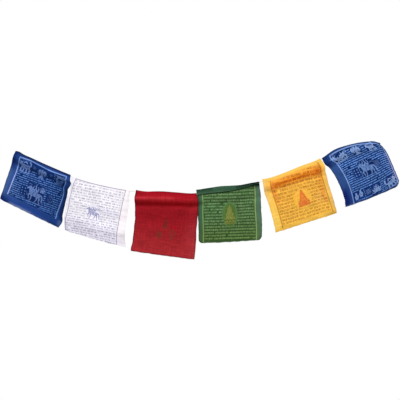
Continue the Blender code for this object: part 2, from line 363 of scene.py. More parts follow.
class Figure(NamedTuple):
    """One figure of the block on a flag: its shapes, place, size, turn and the bare zone round it."""

    shapes: tuple[Any, ...]
    across: float
    down: float
    size: float = 1.0
    turn: float = 0.0
    flip: bool = False
    ink: Ink = Ink.MAIN
    zone_wide: float = 0.0
    zone_tall: float = 0.0
    zone_dark: bool = False
    zone_round: bool = False


@dataclass(frozen=True)
class PrintLines:
    """Edges of the printed field on one flag, as read along its cloth, and which of them are ruled."""

    left: tuple[Mark, ...]
    right: tuple[Mark, ...]
    top: tuple[Mark, ...]
    bottom: tuple[Mark, ...]
    top_ruled: bool = True
    width: float = 2.6


@dataclass(frozen=True)
class PrintRows:
    """Rows of short uneven dashes: how many in the flag's drop, their slope and bend, and the dashes."""

    count: float
    tilt: float
    fan: float
    bow: float
    spread: float
    sway: float
    centre: float
    dash: float
    gap: float
    thickness: float
    slant: float = 0.0
    roughness: float = 0.5
    unevenness: float = 0.4
    marks: float = 0.4

    def place(self, across: Grid, down: Grid) -> Grid:
        """The row in which each point lies. A dash has its middle at half a row.

        Args:
            across: share of the width at each point.
            down: share of the drop at each point.

        Returns:
            The row's number at each point, and a share of it.
        """
        u = across - 0.5
        v = down - 0.5
        bent = v + self.tilt * u + self.fan * u * v + self.bow * u**2 + self.spread * v**2 + self.sway * u**3
        return self.count * bent - self.centre + 0.5


@dataclass(frozen=True)
class BlockPrint:
    """Dyed plain-weave cotton with a block print: the sRGB colours of cloth and inks, and their strength."""

    cloth: str
    ground: str
    ink: str
    frame: str
    figure: str
    second: str
    dark: str
    ground_strength: float
    ink_strength: float
    frame_strength: float
    figure_strength: float
    second_strength: float
    roughness: float = 0.88
    slub: float = 0.10
    wear: float = 0.35
    softness: float = 0.45
    stipple: float = 0.0


def table(kind: type, *rows: tuple) -> tuple:
    """The rows of a table, each with its columns named by the kind."""
    return tuple(kind(*row) for row in rows)


def linear(hex_colour: str) -> tuple[float, float, float, float]:
    """The linear colour of an sRGB hex value.

    Args:
        hex_colour: six hex digits after a hash.

    Returns:
        Red, green, blue and full alpha, as Blender's sockets take them.
    """
    parts = [int(hex_colour[k : k + 2], 16) / 255 for k in (1, 3, 5)]
    red, green, blue = (c / 12.92 if c <= 0.04045 else ((c + 0.055) / 1.055) ** 2.4 for c in parts)
    return red, green, blue, 1.0


def smooth_through(stations: Sequence[float], rows: Sequence, wanted: Grid) -> Grid:
    """Read a smooth curve through the rows, which stand at rising stations, at each wanted station.

    Args:
        stations: where the rows stand.
        rows: a value or a row of values for each station.
        wanted: the stations to read, in one list.

    Returns:
        The values read, one row for each wanted station.
    """
    stations = np.asarray(stations, dtype=float)
    rows = np.asarray(rows, dtype=float)
    slopes = np.gradient(rows, stations, axis=0)
    before = np.clip(np.searchsorted(stations, wanted, side="right") - 1, 0, len(stations) - 2)
    span = stations[before + 1] - stations[before]
    share = (wanted - stations[before]) / span
    shape = (-1,) + (1,) * (rows.ndim - 1)
    share = share.reshape(shape)
    span = span.reshape(shape)
    start = (1 + 2 * share) * (1 - share) ** 2 * rows[before]
    finish = share**2 * (3 - 2 * share) * rows[before + 1]
    start_slope = share * (1 - share) ** 2 * span * slopes[before]
    finish_slope = share**2 * (share - 1) * span * slopes[before + 1]
    return start + finish + start_slope + finish_slope


def cord_height(along: Grid) -> Grid:
    """Height of the cord's centre at each distance along X, in millimetres.

    Args:
        along: the distances, in millimetres.

    Returns:
        The heights, in the same shape.
    """
    line = np.array(CORD_LINE, dtype=float)
    flat = smooth_through(line[:, 0], line[:, 1], np.ravel(along))
    return flat.reshape(np.shape(along))


def ripple(x: Grid, y: Grid, scale: float, seed: int) -> Grid:
    """An uneven field of soft waves about as long as the scale, with a height of about 1 either way.

    Args:
        x: places across, in millimetres.
        y: places down, in millimetres.
        scale: length of a wave, in millimetres.
        seed: which field to draw.

    Returns:
        The height at each point.
    """
    rng = np.random.default_rng(seed)
    field = np.zeros(np.broadcast(x, y).shape)
    waves = 9
    for _ in range(waves):
        heading, phase = rng.uniform(0, 2 * np.pi, 2)
        length = scale * rng.uniform(0.7, 1.7)
        field += np.sin((x * np.cos(heading) + y * np.sin(heading)) * 2 * np.pi / length + phase)
    return field * (2 / waves) ** 0.5 * 0.7


def line_share(
    line: Fold | ToneAndPaintedLight, across: Grid, down: Grid, wide: float, tall: float
) -> Grid:
    """How strongly a soft line acts at each point, 1 on it and near 0 beyond its width.

    Args:
        line: the line, with its ends as shares of the cloth.
        across: share of the width at each point.
        down: share of the drop at each point.
        wide: width of the cloth in millimetres.
        tall: its drop.

    Returns:
        The share at each point.
    """
    x, y = across * wide, down * tall
    begin = np.array((line.from_across * wide, line.from_down * tall))
    run = np.array((line.to_across * wide, line.to_down * tall)) - begin
    share = np.clip(((x - begin[0]) * run[0] + (y - begin[1]) * run[1]) / (run @ run), 0, 1)
    reach = np.hypot(x - begin[0] - share * run[0], y - begin[1] - share * run[1])
    return np.exp(-((reach / (line.width / 2)) ** 2))


def add(
    tree: bpy.types.NodeTree, kind: str, inputs: dict | Sequence = (), out: int = 0, **settings: Any
) -> Any:
    """Add one node to a tree, with its settings, values and links.

    Args:
        tree: the node tree.
        kind: the node's type, without the word ShaderNode.
        inputs: a value or an output socket for each input, in order or by index or name. None leaves one be.
        out: which output to return.
        **settings: the node's own settings.

    Returns:
        The output socket.
    """
    made = tree.nodes.new("ShaderNode" + kind)
    for name, value in settings.items():
        setattr(made, name, value)
    pairs = inputs.items() if isinstance(inputs, dict) else enumerate(inputs)
    for key, value in pairs:
        if isinstance(value, bpy.types.NodeSocket):
            tree.links.new(value, made.inputs[key])
        elif value is not None:
            made.inputs[key].default_value = value
    return made.outputs[out] if len(made.outputs) else made


def new_material(name: str) -> tuple[bpy.types.Material, bpy.types.NodeTree, bpy.types.Node]:
    """An empty node material, its tree and its Principled shader.

    Args:
        name: the material's name.

    Returns:
        The material, its tree and its shader.
    """
    material = bpy.data.materials.new(name)
    material.use_nodes = True
    tree = material.node_tree
    return material, tree, tree.nodes["Principled BSDF"]


class CottonCloth:
    """Plain-weave cotton, dyed and block-printed: to the eye, a matt cloth with slubs and soft-edged ink."""

    # Sizes in millimetres, then shares of a row's height and of the ink that soaks through.
    THREAD_MM = 0.62
    INK_EDGE_MM = 0.8
    SLUB_LONG_MM = 34.0
    SLUB_WIDE_MM = 1.9
    FLECK_MM = 2.6
    WEAR_MM = 3.4
    STIPPLE_MM = 2.7
    MARK_MM = 2.6
    ROW_MIDDLE = 0.53
    ROW_LIFT = 0.06
    ROW_EDGE = 0.13
    SOAKED_BACK = 0.45

    def __init__(self, name: str, finish: BlockPrint, rows: PrintRows, line_width: float) -> None:
        """Build the material.

        Args:
            name: the material's name.
            finish: its colours and strengths.
            rows: the printed rows.
            line_width: width of the ruled lines in millimetres.
        """
        self.finish = finish
        self.rows = rows
        self.line_width = line_width
        self.material, self.tree, self.shader = new_material(name)
        self.build()

    def add(self, kind: str, inputs: dict | Sequence = (), out: int = 0, **settings: Any) -> Any:
        """Add one node to this material."""
        return add(self.tree, kind, inputs, out, **settings)

    def step(self, value: Any, low: Any, high: Any) -> Any:
        """A soft step of the value from 0 at low to 1 at high."""
        return self.add("MapRange", (value, low, high, 0.0, 1.0), interpolation_type="SMOOTHSTEP")

    def math(self, kind: str, *values: Any) -> Any:
        """One sum of the named kind."""
        return self.add("Math", values, operation=kind)

    def times(self, first: Any, *others: Any) -> Any:
        """The product of the values."""
        for other in others:
            first = self.math("MULTIPLY", first, other)
        return first

    def blend(self, value: Any, factor: Any, rest: Any) -> Any:
        """The value times the factor, plus the rest."""
        return self.math("MULTIPLY_ADD", value, factor, rest)

    def grain(self, across: Any, down: Any, detail: float) -> Any:
        """Smooth noise with one bump to a unit, read at two coordinates."""
        spot = self.add("CombineXYZ", (across, down, 0.0))
        return self.add("TexNoise", {"Vector": spot, "Scale": 1.0, "Detail": detail}, noise_dimensions="2D")

    def attribute(self, name: str, out: int = 1) -> Any:
        """A value that the cloth's mesh carries."""
        return self.add("Attribute", out=out, attribute_type="GEOMETRY", attribute_name=name)

    def axes(self, vector: Any) -> tuple[Any, Any, Any]:
        """The three parts of a vector."""
        first = self.add("SeparateXYZ", (vector,))
        return first, first.node.outputs[1], first.node.outputs[2]

    def dashes(self, along: Any, row: Any, clear: Any) -> Any:
        """The mask of the printed rows: one line of short, uneven, soft-edged dashes after another.

        Args:
            along: place along the row, in millimetres.
            row: place across the rows, 1 to a row.
            clear: how far the point lies from frames and figures, in millimetres.

        Returns:
            The mask, from 0 to 1.
        """
        rows = self.rows
        line = self.math("FLOOR", row)
        height = self.math("FRACT", row)
        # Odd steps from row to row keep the dashes and their blots from lining up.
        start = self.add("TexWhiteNoise", {"W": line}, noise_dimensions="1D")
        warp = self.grain(self.times(along, 1 / (3.1 * rows.dash)), self.times(line, 7.31), 1.0)
        shifted = self.blend(warp, 3.4, self.times(start, 9.0))
        run = self.blend(along, 1 / rows.dash, self.blend(height, rows.slant, shifted))
        share = self.math("FRACT", run)
        cell_line = self.add("CombineXYZ", (self.math("FLOOR", run), line, 0.0))
        chance = self.add("TexWhiteNoise", {"Vector": cell_line}, noise_dimensions="2D")
        press, lift, _ = self.axes(chance.node.outputs["Color"])
        edge = self.INK_EDGE_MM / rows.dash
        gap = self.blend(chance, rows.gap * 1.3, rows.gap * 0.35)
        opened = self.step(share, gap, self.math("ADD", gap, edge))
        closed = self.step(share, 1.0, 1.0 - edge)
        rough = self.grain(self.times(along, 0.45), self.times(row, 2.3), 2.0)
        middle = self.math("SUBTRACT", height, self.ROW_MIDDLE)
        off = self.math("ABSOLUTE", self.blend(lift, self.ROW_LIFT, middle))
        half = self.blend(rough, rows.roughness, rows.thickness / 2 - rows.roughness / 2)
        tall = self.step(off, self.math("ADD", half, self.ROW_EDGE), half)
        strength = self.blend(press, rows.unevenness, 1.0 - rows.unevenness)
        marks = self.grain(self.times(along, 1 / self.MARK_MM), self.times(line, 5.17), 0.0)
        whole = self.blend(self.step(marks, 0.34, 0.54), rows.marks, 1.0 - rows.marks)
        return self.times(opened, closed, tall, strength, whole, self.step(clear, 0.0, 0.9))

    def build(self) -> None:
        """Lay the dye, the inks, the slubs, the painted light and shade, and the weave over one another."""
        finish = self.finish
        # The dye's tone with painted light and shade, and the painted brightness as its alpha.
        dye_light_cast = self.attribute("dye_and_painted_light", 0)
        painted_light = dye_light_cast.node.outputs[3]
        across, down, back = self.axes(self.attribute("cloth_place"))
        along, row, clear = self.axes(self.attribute("print_rows"))
        frame_off, inside, ends = self.axes(self.attribute("print_frame"))
        figure_in, second_in, dark_in = self.axes(self.attribute("print_figures"))
        soak = self.blend(back, -self.SOAKED_BACK, 1.0)
        spot = self.add("CombineXYZ", (across, down, 0.0))
        patchy = self.add("TexNoise", {"Vector": spot, "Scale": 0.55, "Detail": 3.0, "Roughness": 0.65})
        take = self.times(self.step(patchy, 0.22, 0.62), soak)
        even = self.times(self.step(patchy, -0.6, 0.5), soak)
        worn = self.times(take, self.flecks(across, down, self.WEAR_MM, finish.wear))
        field = self.step(inside, -0.2, 0.9)
        ground = self.times(field, soak, finish.ground_strength)
        colour = self.layer(linear(finish.cloth), finish.ground, ground)
        colour = self.layer(colour, finish.dark, self.times(self.step(dark_in, -0.3, 0.8), soak))
        ink = self.times(self.dashes(along, row, clear), finish.ink_strength, take)
        colour = self.layer(colour, finish.ink, ink)
        if finish.stipple:
            dots = self.flecks(down, across, self.STIPPLE_MM, 1.0)
            colour = self.layer(colour, finish.figure, self.times(dots, field, finish.stipple))
        near = self.math("ABSOLUTE", frame_off)
        ruled = self.step(near, self.line_width / 2 + 0.55, self.line_width / 2 - 0.35)
        ruled = self.times(ruled, self.step(ends, -2.0, -0.6), finish.frame_strength, even)
        colour = self.layer(colour, finish.frame, ruled)
        soft = finish.softness
        figure = self.times(self.step(figure_in, -soft, soft), finish.figure_strength, worn)
        colour = self.layer(colour, finish.figure, figure)
        second = self.times(self.step(second_in, -soft, soft), finish.second_strength, worn)
        colour = self.layer(colour, finish.second, second)

        # The slubs' tone times the painted brightness, then the colour times the dye with its painted light
        # and shade.
        tone = self.times(self.slubs(across, down), painted_light)
        colour = self.add("VectorMath", (colour, dye_light_cast), operation="MULTIPLY")
        grey = self.add("CombineXYZ", (tone, tone, tone))
        colour = self.add("VectorMath", (colour, grey), operation="MULTIPLY")
        self.tree.links.new(colour, self.shader.inputs["Base Color"])
        rough = self.blend(patchy, -0.10, finish.roughness + 0.05)
        self.tree.links.new(rough, self.shader.inputs["Roughness"])
        self.shader.inputs["Specular IOR Level"].default_value = 0.07
        self.shader.inputs["Sheen Weight"].default_value = 0.012
        self.shader.inputs["Sheen Roughness"].default_value = 0.6
        self.weave(across, down)

    def layer(self, below: Any, hex_colour: str, mask: Any) -> Any:
        """One ink laid over the colour below it where the mask says."""
        return self.add("Mix", {0: mask, 6: below, 7: linear(hex_colour)}, out=2, data_type="RGBA")

    def flecks(self, across: Any, down: Any, size: float, amount: float) -> Any:
        """Small patches, of about the size in millimetres, where a value falls from 1 by the amount."""
        grain = self.grain(self.times(across, 1 / size), self.times(down, 1 / size), 1.0)
        return self.blend(self.step(grain, 0.40, 0.58), amount, 1.0 - amount)

    def slubs(self, across: Any, down: Any) -> Any:
        """Thick and thin threads both ways, as a tone near 1.

        Args:
            across: place across the cloth, in millimetres.
            down: place down the cloth, in millimetres.

        Returns:
            The tone.
        """
        total = -1.5
        grains = ((self.SLUB_WIDE_MM, self.SLUB_LONG_MM), (self.SLUB_LONG_MM, self.SLUB_WIDE_MM))
        for wide, long in grains + ((self.FLECK_MM, self.FLECK_MM),):
            streak = self.grain(self.times(across, 1 / wide), self.times(down, 1 / long), 2.0)
            total = self.math("ADD", streak, total)
        return self.blend(total, self.finish.slub * 2.0, 1.0)

    def weave(self, across: Any, down: Any) -> None:
        """Threads over and under one another, as a fine bump. The real spacing is nearer 0.45 mm.

        Args:
            across: place across the cloth, in millimetres.
            down: place down the cloth, in millimetres.
        """
        turns = 2 * np.pi / self.THREAD_MM
        height = self.times(*(self.math("SINE", self.times(way, turns)) for way in (across, down)))
        bump = self.add("Bump", {"Strength": 0.35, "Distance": 0.00012, "Height": height})
        self.tree.links.new(bump, self.shader.inputs["Normal"])


@dataclass
class Flag:
    """One cotton flag: its stretch of the cord, its hung shape, its dye with painted light and shade, and its
    block print.
    """

    name: str
    slot: str
    node: str
    cord_from: float
    cord_to: float
    cut_wide: float
    cut_long: float
    bottom_sag: float
    sections: tuple[Section, ...]
    folds: tuple[Fold, ...]
    creases: tuple[Fold, ...]
    finish: BlockPrint
    lines: PrintLines
    rows: PrintRows
    figures: tuple[Figure, ...]
    tone_and_painted_light: tuple[ToneAndPaintedLight, ...]
    seed: int
    hem: tuple[Hem, ...]
    hem_side: HemSide = HemSide.BACK
    edge_shade: float = 0.25
    corner_tuck: float = 0.6

    # Counts of faces, then sizes in millimetres. A wave or curl is its height and how long or wide it is.
    STEPS_ACROSS = 168
    STEPS_DOWN = 150
    LEG_STEPS = 8
    RISE_STEPS = 5
    LOOP_STEPS = 14
    CLOTH = 0.35
    HEM_DEPTH = 10.0
    LOOP_HALF_WIDE = 1.7
    LOOP_RISE = 1.15
    FADE_DOWN = 0.075
    EDGE_MM = 2.6
    BROAD_WAVE = (0.8, 46)
    SMALL_WAVE = (0.22, 15)
    SIDE_CURL = (1.2, 6)
    LOW_CURL = (0.9, 5)
    CURL_LONG = 60
    PUCKER = 0.3
    PUCKER_LONG = 9
    WANDER = 0.4
    WANDER_BAND = 9
    THREAD_RADIUS = 0.11
    STITCH_SPACING = 3.9
    STITCH_SIZE = (1.3, 0.24, 0.24)

    @property
    def drop(self) -> float:
        """Length of the flag's left edge below the cord, in millimetres."""
        low, top = self.sections[-1], cord_height(np.array([self.cord_from]))[0]
        return float(np.hypot(low.left_x - self.cord_from, low.left_z - top))

    @property
    def width(self) -> float:
        """Straight width of the flag's top edge, in millimetres."""
        ends = np.array([self.cord_from, self.cord_to])
        return float(np.hypot(np.ptp(ends), np.diff(cord_height(ends))[0]))

    def hem_at(self, across: Grid) -> tuple[Grid, Grid]:
        """How far the hem stands above the cord and reaches below it at each share of the width.

        Args:
            across: shares of the width.

        Returns:
            The rise and the reach, in millimetres.
        """
        table = np.array(self.hem, dtype=float)
        read = smooth_through(table[:, 0], table[:, 1:], across)
        return read[:, 0], read[:, 1]

    def top(self, across: Grid) -> tuple[Grid, Grid]:
        """The cord's centre over each share of the flag's width, as x and z in millimetres."""
        along = self.cord_from + across * (self.cord_to - self.cord_from)
        return along, cord_height(along)

    def hung(self, across: Grid, down: Grid) -> Grid:
        """Places on the hung body of the flag, in millimetres.

        Args:
            across: shares of the width, from the left edge.
            down: shares of the drop, from the cord.

        Returns:
            x, y and z of each point.
        """
        corners = np.array([self.cord_from, self.cord_to])
        heights = cord_height(corners)
        stations = [0.0] + [section.down for section in self.sections]
        first = (corners[0], heights[0], corners[1], heights[1], 0, 0, 0)
        sides = [first] + [section[1:] for section in self.sections]
        read = smooth_through(stations, sides, np.ravel(down)).reshape(*down.shape, 7)
        left_x, left_z, right_x, right_z, out_left, out_middle, out_right = np.moveaxis(read, -1, 0)
        top_x, top_z = self.top(across)
        bow_x = top_x - (corners[0] * (1 - across) + corners[1] * across)
        bow_z = top_z - (heights[0] * (1 - across) + heights[1] * across)
        x = left_x * (1 - across) + right_x * across + bow_x * (1 - down)
        z = left_z * (1 - across) + right_z * across + bow_z * (1 - down)
        z = z - self.bottom_sag * 4 * across * (1 - across) * down
        out = out_left * (1 - across) * (1 - 2 * across) + out_right * across * (2 * across - 1)
        out = out + out_middle * 4 * across * (1 - across)
        out = out + self.relief(across, down)
        out = out * np.minimum(down / self.FADE_DOWN, 1)
        out = out + self.puckers(across, down)
        shift_x, shift_z = self.edge_wander(across, down)
        return np.stack((x + shift_x, -out, z + shift_z), axis=-1)

    def relief(self, across: Grid, down: Grid) -> Grid:
        """How far the folds, the finer creases and the cloth's own unevenness push each point out.

        Args:
            across: share of the width at each point.
            down: share of the drop at each point.

        Returns:
            The push at each point, in millimetres.
        """
        x = across * self.width
        y = down * self.drop
        depth = np.zeros_like(x)
        for fold in self.folds + self.creases:
            depth += fold.height * line_share(fold, across, down, self.width, self.drop)
        for step, (height, length) in enumerate((self.BROAD_WAVE, self.SMALL_WAVE)):
            depth += height * ripple(x, y, length, self.seed + step)
        side = np.minimum(across, 1 - across) * self.width
        low = (1 - down) * self.drop
        curl = ripple(x, y, self.CURL_LONG, self.seed + 2)
        for reach, (height, band) in ((side, self.SIDE_CURL), (low, self.LOW_CURL)):
            depth += height * curl * np.exp(-((reach / band) ** 2))
        return depth

    def puckers(self, across: Grid, down: Grid) -> Grid:
        """Small gathers that the hem's seam draws into the cloth under the cord.

        Args:
            across: share of the width at each point.
            down: share of the drop at each point.

        Returns:
            The push at each point, in millimetres.
        """
        x = across * self.width
        y = down * self.drop
        near = np.exp(-(((y - self.HEM_DEPTH) / self.PUCKER_LONG) ** 2)) * np.clip(y / self.HEM_DEPTH, 0, 1)
        return self.PUCKER * near * ripple(x, y * 0.15, self.PUCKER_LONG, self.seed + 3)

    def edge_wander(self, across: Grid, down: Grid) -> tuple[Grid, Grid]:
        """How far the cut edges stray from straight, as x and z in millimetres.

        Args:
            across: share of the width at each point.
            down: share of the drop at each point.

        Returns:
            The shifts in x and z.
        """
        x = across * self.width
        y = down * self.drop
        side = np.exp(-((np.minimum(across, 1 - across) * self.width / self.WANDER_BAND) ** 2))
        low = np.exp(-(((1 - down) * self.drop / self.WANDER_BAND) ** 2))
        hang = np.clip(y / 12, 0, 1)
        shift_x = self.WANDER * ripple(x * 0.2, y, 17, self.seed + 4) * side * hang
        shift_z = self.WANDER * ripple(x, y * 0.2, 21, self.seed + 5) * low
        near = np.hypot(np.minimum(across, 1 - across) * self.width, (1 - down) * self.drop)
        tuck = self.corner_tuck * np.exp(-((near / 5) ** 2))
        return shift_x + tuck * np.sign(0.5 - across), shift_z + tuck

    def cloth_rows(self) -> tuple[Grid, Grid]:
        """All rows of the cloth, from the hem's free edge, over the cord, to the bottom edge.

        Returns:
            The places in millimetres, and the share of the drop at each point, below 0 on the hem.
        """
        across = np.linspace(0, 1, self.STEPS_ACROSS + 1)
        side = self.hem_side.value
        half = self.LOOP_HALF_WIDE
        rise, reach = self.hem_at(across)
        edge_gap = 1.5 if self.hem_side is HemSide.BACK else 2 * half
        top_x, top_z = self.top(across)
        run = np.gradient(np.column_stack((top_x, top_z)), axis=0)
        up = np.column_stack((-run[:, 1], run[:, 0])) / np.linalg.norm(run, axis=1)[:, None]
        around = np.pi * (half + self.LOOP_RISE) / 2
        places, shares = [], []

        def lift(height: Grid, out: float, before: Grid) -> None:
            """Add one row above the cord's line, with the cloth that lies before it in millimetres.

            Args:
                height: how far above the line.
                out: how far to +Y.
                before: length of cloth before it.
            """
            x = top_x + up[:, 0] * height
            z = top_z + up[:, 1] * height
            places.append(np.column_stack((x, np.full_like(across, out), z)))
            shares.append(-before / self.drop)

        for step in range(self.LEG_STEPS):
            share = 1 - step / self.LEG_STEPS
            leg = self.hung(across, share * reach / self.drop)
            leg[:, 1] += side * (2 * half - (2 * half - edge_gap) * share - half)
            places.append(leg)
            shares.append(-(2 * rise + around + share * reach) / self.drop)
        for step in range(self.RISE_STEPS):
            height = rise * step / self.RISE_STEPS
            lift(height, side * half, 2 * rise + around - height)
        for angle in np.linspace(0, np.pi, self.LOOP_STEPS + 1):
            height = rise + self.LOOP_RISE * np.sin(angle)
            lift(height, side * half * np.cos(angle), rise + around * (1 - angle / np.pi))
        for step in range(self.RISE_STEPS):
            height = rise * (1 - (step + 1) / (self.RISE_STEPS + 1))
            lift(height, -side * half, height)
        downs = np.arange(1, self.STEPS_DOWN + 1) / self.STEPS_DOWN
        grid_across, grid_down = np.meshgrid(across, downs)
        body = self.hung(grid_across, grid_down)
        body[..., 1] -= side * half
        places.extend(body)
        shares.extend(grid_down)
        return np.array(places), np.array(shares)

    def print_fields(self, across: Grid, down: Grid) -> dict[str, Grid]:
        """Where each point of the cloth lies in the print and in its dye.

        Args:
            across: share of the width at each point.
            down: share of the drop at each point.

        Returns:
            The mesh's named vectors, in millimetres, and the dye with its painted light and shade, the
            painted brightness as alpha.
        """
        x = across * self.cut_wide
        y = down * self.drop
        lines = self.lines
        edges = [
            (across - smooth_marks(lines.left, down)) * self.cut_wide,
            (smooth_marks(lines.right, down) - across) * self.cut_wide,
            (down - smooth_marks(lines.top, across)) * self.drop,
            (smooth_marks(lines.bottom, across) - down) * self.drop,
        ]
        inside = np.minimum.reduce(edges)
        ends = edges[3] if lines.top_ruled else np.minimum(edges[2], edges[3])
        frame = np.minimum.reduce(edges[: 3 if lines.top_ruled else 2])
        clear = inside - lines.width / 2 - 0.8
        depth = {ink: np.full_like(x, -9.0) for ink in Ink}
        for figure in self.figures:
            local_x = x - figure.across * self.cut_wide
            local_y = y - figure.down * self.drop
            angle = np.radians(figure.turn)
            turned_x = (local_x * np.cos(angle) + local_y * np.sin(angle)) / figure.size
            turned_y = (local_y * np.cos(angle) - local_x * np.sin(angle)) / figure.size
            mirror = -1 if figure.flip else 1
            zone = self.zone_depth(figure, turned_x * figure.size, turned_y * figure.size)
            clear = np.minimum(clear, -zone)
            if figure.zone_dark:
                depth[Ink.GROUND] = np.maximum(depth[Ink.GROUND], zone)
            drawn = np.full_like(x, -9.0)
            for shape in figure.shapes:
                reach = shape.depth(turned_x * mirror, turned_y) * figure.size
                drawn = np.minimum(drawn, -reach) if shape.cut else np.maximum(drawn, reach)
            depth[figure.ink] = np.maximum(depth[figure.ink], drawn)
        row = self.rows.place(across, down)
        return {
            "dye_and_painted_light": self.painted_light_and_dye(across, down),
            "print_rows": np.stack((edges[0], row, clear), axis=-1),
            "print_frame": np.stack((frame, inside, ends), axis=-1),
            "print_figures": np.stack((depth[Ink.MAIN], depth[Ink.SECOND], depth[Ink.GROUND]), axis=-1),
        }

    def zone_depth(self, figure: Figure, x: Grid, y: Grid) -> Grid:
        """How far inside the bare zone round a figure each point lies, in millimetres.

        Args:
            figure: the figure.
            x: places across, in millimetres.
            y: places down, in millimetres.

        Returns:
            The depth at each point, far below 0 where there is no zone.
        """
        if not figure.zone_wide:
            return np.full_like(x, -99.0)
        if figure.zone_round:
            return Oval(0, 0, figure.zone_wide, figure.zone_tall).depth(x, y)
        return Box(0, 0, figure.zone_wide, figure.zone_tall).depth(x, y)

    def painted_light_and_dye(self, across: Grid, down: Grid) -> Grid:
        """How the dye's tone and the painted light and shade at each point differ from the plain cloth's
        colour, with the painted brightness as alpha.

        Args:
            across: share of the width at each point.
            down: share of the drop at each point.

        Returns:
            Four values for each point.
        """
        cloth = np.array(linear(self.finish.cloth))
        colour = np.ones((*across.shape, 4)) * cloth
        for tone_line in self.tone_and_painted_light:
            share = line_share(tone_line, across, down, self.cut_wide, self.drop)
            mixed = np.array(linear(tone_line.colour)[:3])
            colour[..., :3] += (mixed - colour[..., :3]) * (tone_line.amount * share)[..., None]
            colour[..., 3] *= 1 + (tone_line.painted_light - 1) * share
        # Painted shade along the side and bottom edges.
        edge = np.minimum(np.minimum(across, 1 - across) * self.cut_wide, (1 - down) * self.drop)
        colour[..., 3] *= 1 - self.edge_shade * np.exp(-((edge / self.EDGE_MM) ** 2))
        return colour / cloth

    def build_cloth(self) -> bpy.types.Object:
        """Make the flag's sheet and dress it in its printed cotton.

        Returns:
            The sheet.
        """
        places, shares = self.cloth_rows()
        steps_down = len(places) - 1
        shape = bmesh.new()
        bmesh.ops.create_grid(shape, x_segments=self.STEPS_ACROSS, y_segments=steps_down, size=0.5)
        bmesh.ops.reverse_faces(shape, faces=shape.faces)
        mesh = finished(shape, self.name)
        count = len(mesh.vertices)
        flat = np.empty(count * 3)
        mesh.vertices.foreach_get("co", flat)
        flat = flat.reshape(-1, 3)
        station = np.rint((flat[:, 0] + 0.5) * self.STEPS_ACROSS).astype(int)
        row = np.rint((flat[:, 1] + 0.5) * steps_down).astype(int)
        mesh.vertices.foreach_set("co", (places[row, station] * MM).ravel())
        across = station / self.STEPS_ACROSS
        down = shares[row, station]
        for name, values in self.print_fields(across, down).items():
            kind, key = ("FLOAT_COLOR", "color") if values.shape[-1] == 4 else ("FLOAT_VECTOR", "vector")
            mesh.attributes.new(name, kind, "POINT").data.foreach_set(key, values.ravel())
        place = np.stack((across * self.cut_wide, down * self.drop, np.zeros(count)), axis=-1)
        sheet = self.thicken(mesh)
        both = np.vstack((place, place + (0, 0, 1)))
        sheet.attributes.new("cloth_place", "FLOAT_VECTOR", "POINT").data.foreach_set("vector", both.ravel())
        sheet.shade_smooth()
        sheet.set_sharp_from_angle(angle=np.radians(60))
        finish = CottonCloth(self.slot + "_plain_weave", self.finish, self.rows, self.lines.width)
        sheet.materials.append(finish.material)
        return new_object(self.name, sheet)

    def thicken(self, mesh: bpy.types.Mesh) -> bpy.types.Mesh:
        """The mesh with the cloth's thickness: its own points are the front, and their copies the back.

        Args:
            mesh: the sheet without thickness.

        Returns:
            The closed mesh.
        """
        draft = new_object(self.name + "_draft", mesh)
        cloth = draft.modifiers.new("Cloth thickness", "SOLIDIFY")
        cloth.thickness = self.CLOTH * MM
        cloth.offset = 0.0
        depsgraph = bpy.context.evaluated_depsgraph_get()
        sheet = bpy.data.meshes.new_from_object(draft.evaluated_get(depsgraph))
        sheet.name = self.name
        bpy.data.objects.remove(draft, do_unlink=True)
        return sheet

    def build_stitches(self) -> bpy.types.Object:
        """Make the running stitches that close the hem's tunnel, a little sunk into the cloth.

        Returns:
            The stitches.
        """
        count = int(self.width / self.STITCH_SPACING)
        shares = (np.arange(count) + 0.5) / count
        _, reach = self.hem_at(shares)
        downs = (reach - 1.5) / self.drop
        out = self.LOOP_HALF_WIDE + self.CLOTH / 2
        wander = 0.25 * ripple(shares * self.width, shares, 40, self.seed + 6)
        places = self.hung(shares, downs + wander / self.drop)
        places[:, 1] -= out
        ahead = self.hung(shares + 0.002, downs) - self.hung(shares, downs)
        shape = bmesh.new()
        for place, run in zip(places, ahead):
            turn = Vector(run).to_track_quat("X", "Z").to_matrix().to_4x4()
            size = Matrix.Diagonal((*self.STITCH_SIZE, 1.0))
            matrix = Matrix.Scale(MM, 4) @ Matrix.Translation(Vector(place)) @ turn @ size
            bmesh.ops.create_uvsphere(shape, u_segments=8, v_segments=6, radius=1.0, matrix=matrix)
        mesh = finished(shape, self.name + "_stitches")
        mesh.shade_smooth()
        mesh.materials.append(sewing_thread(self.slot + "_sewing_thread", self.finish.cloth))
        return new_object(self.name + "_hem_stitches", mesh)

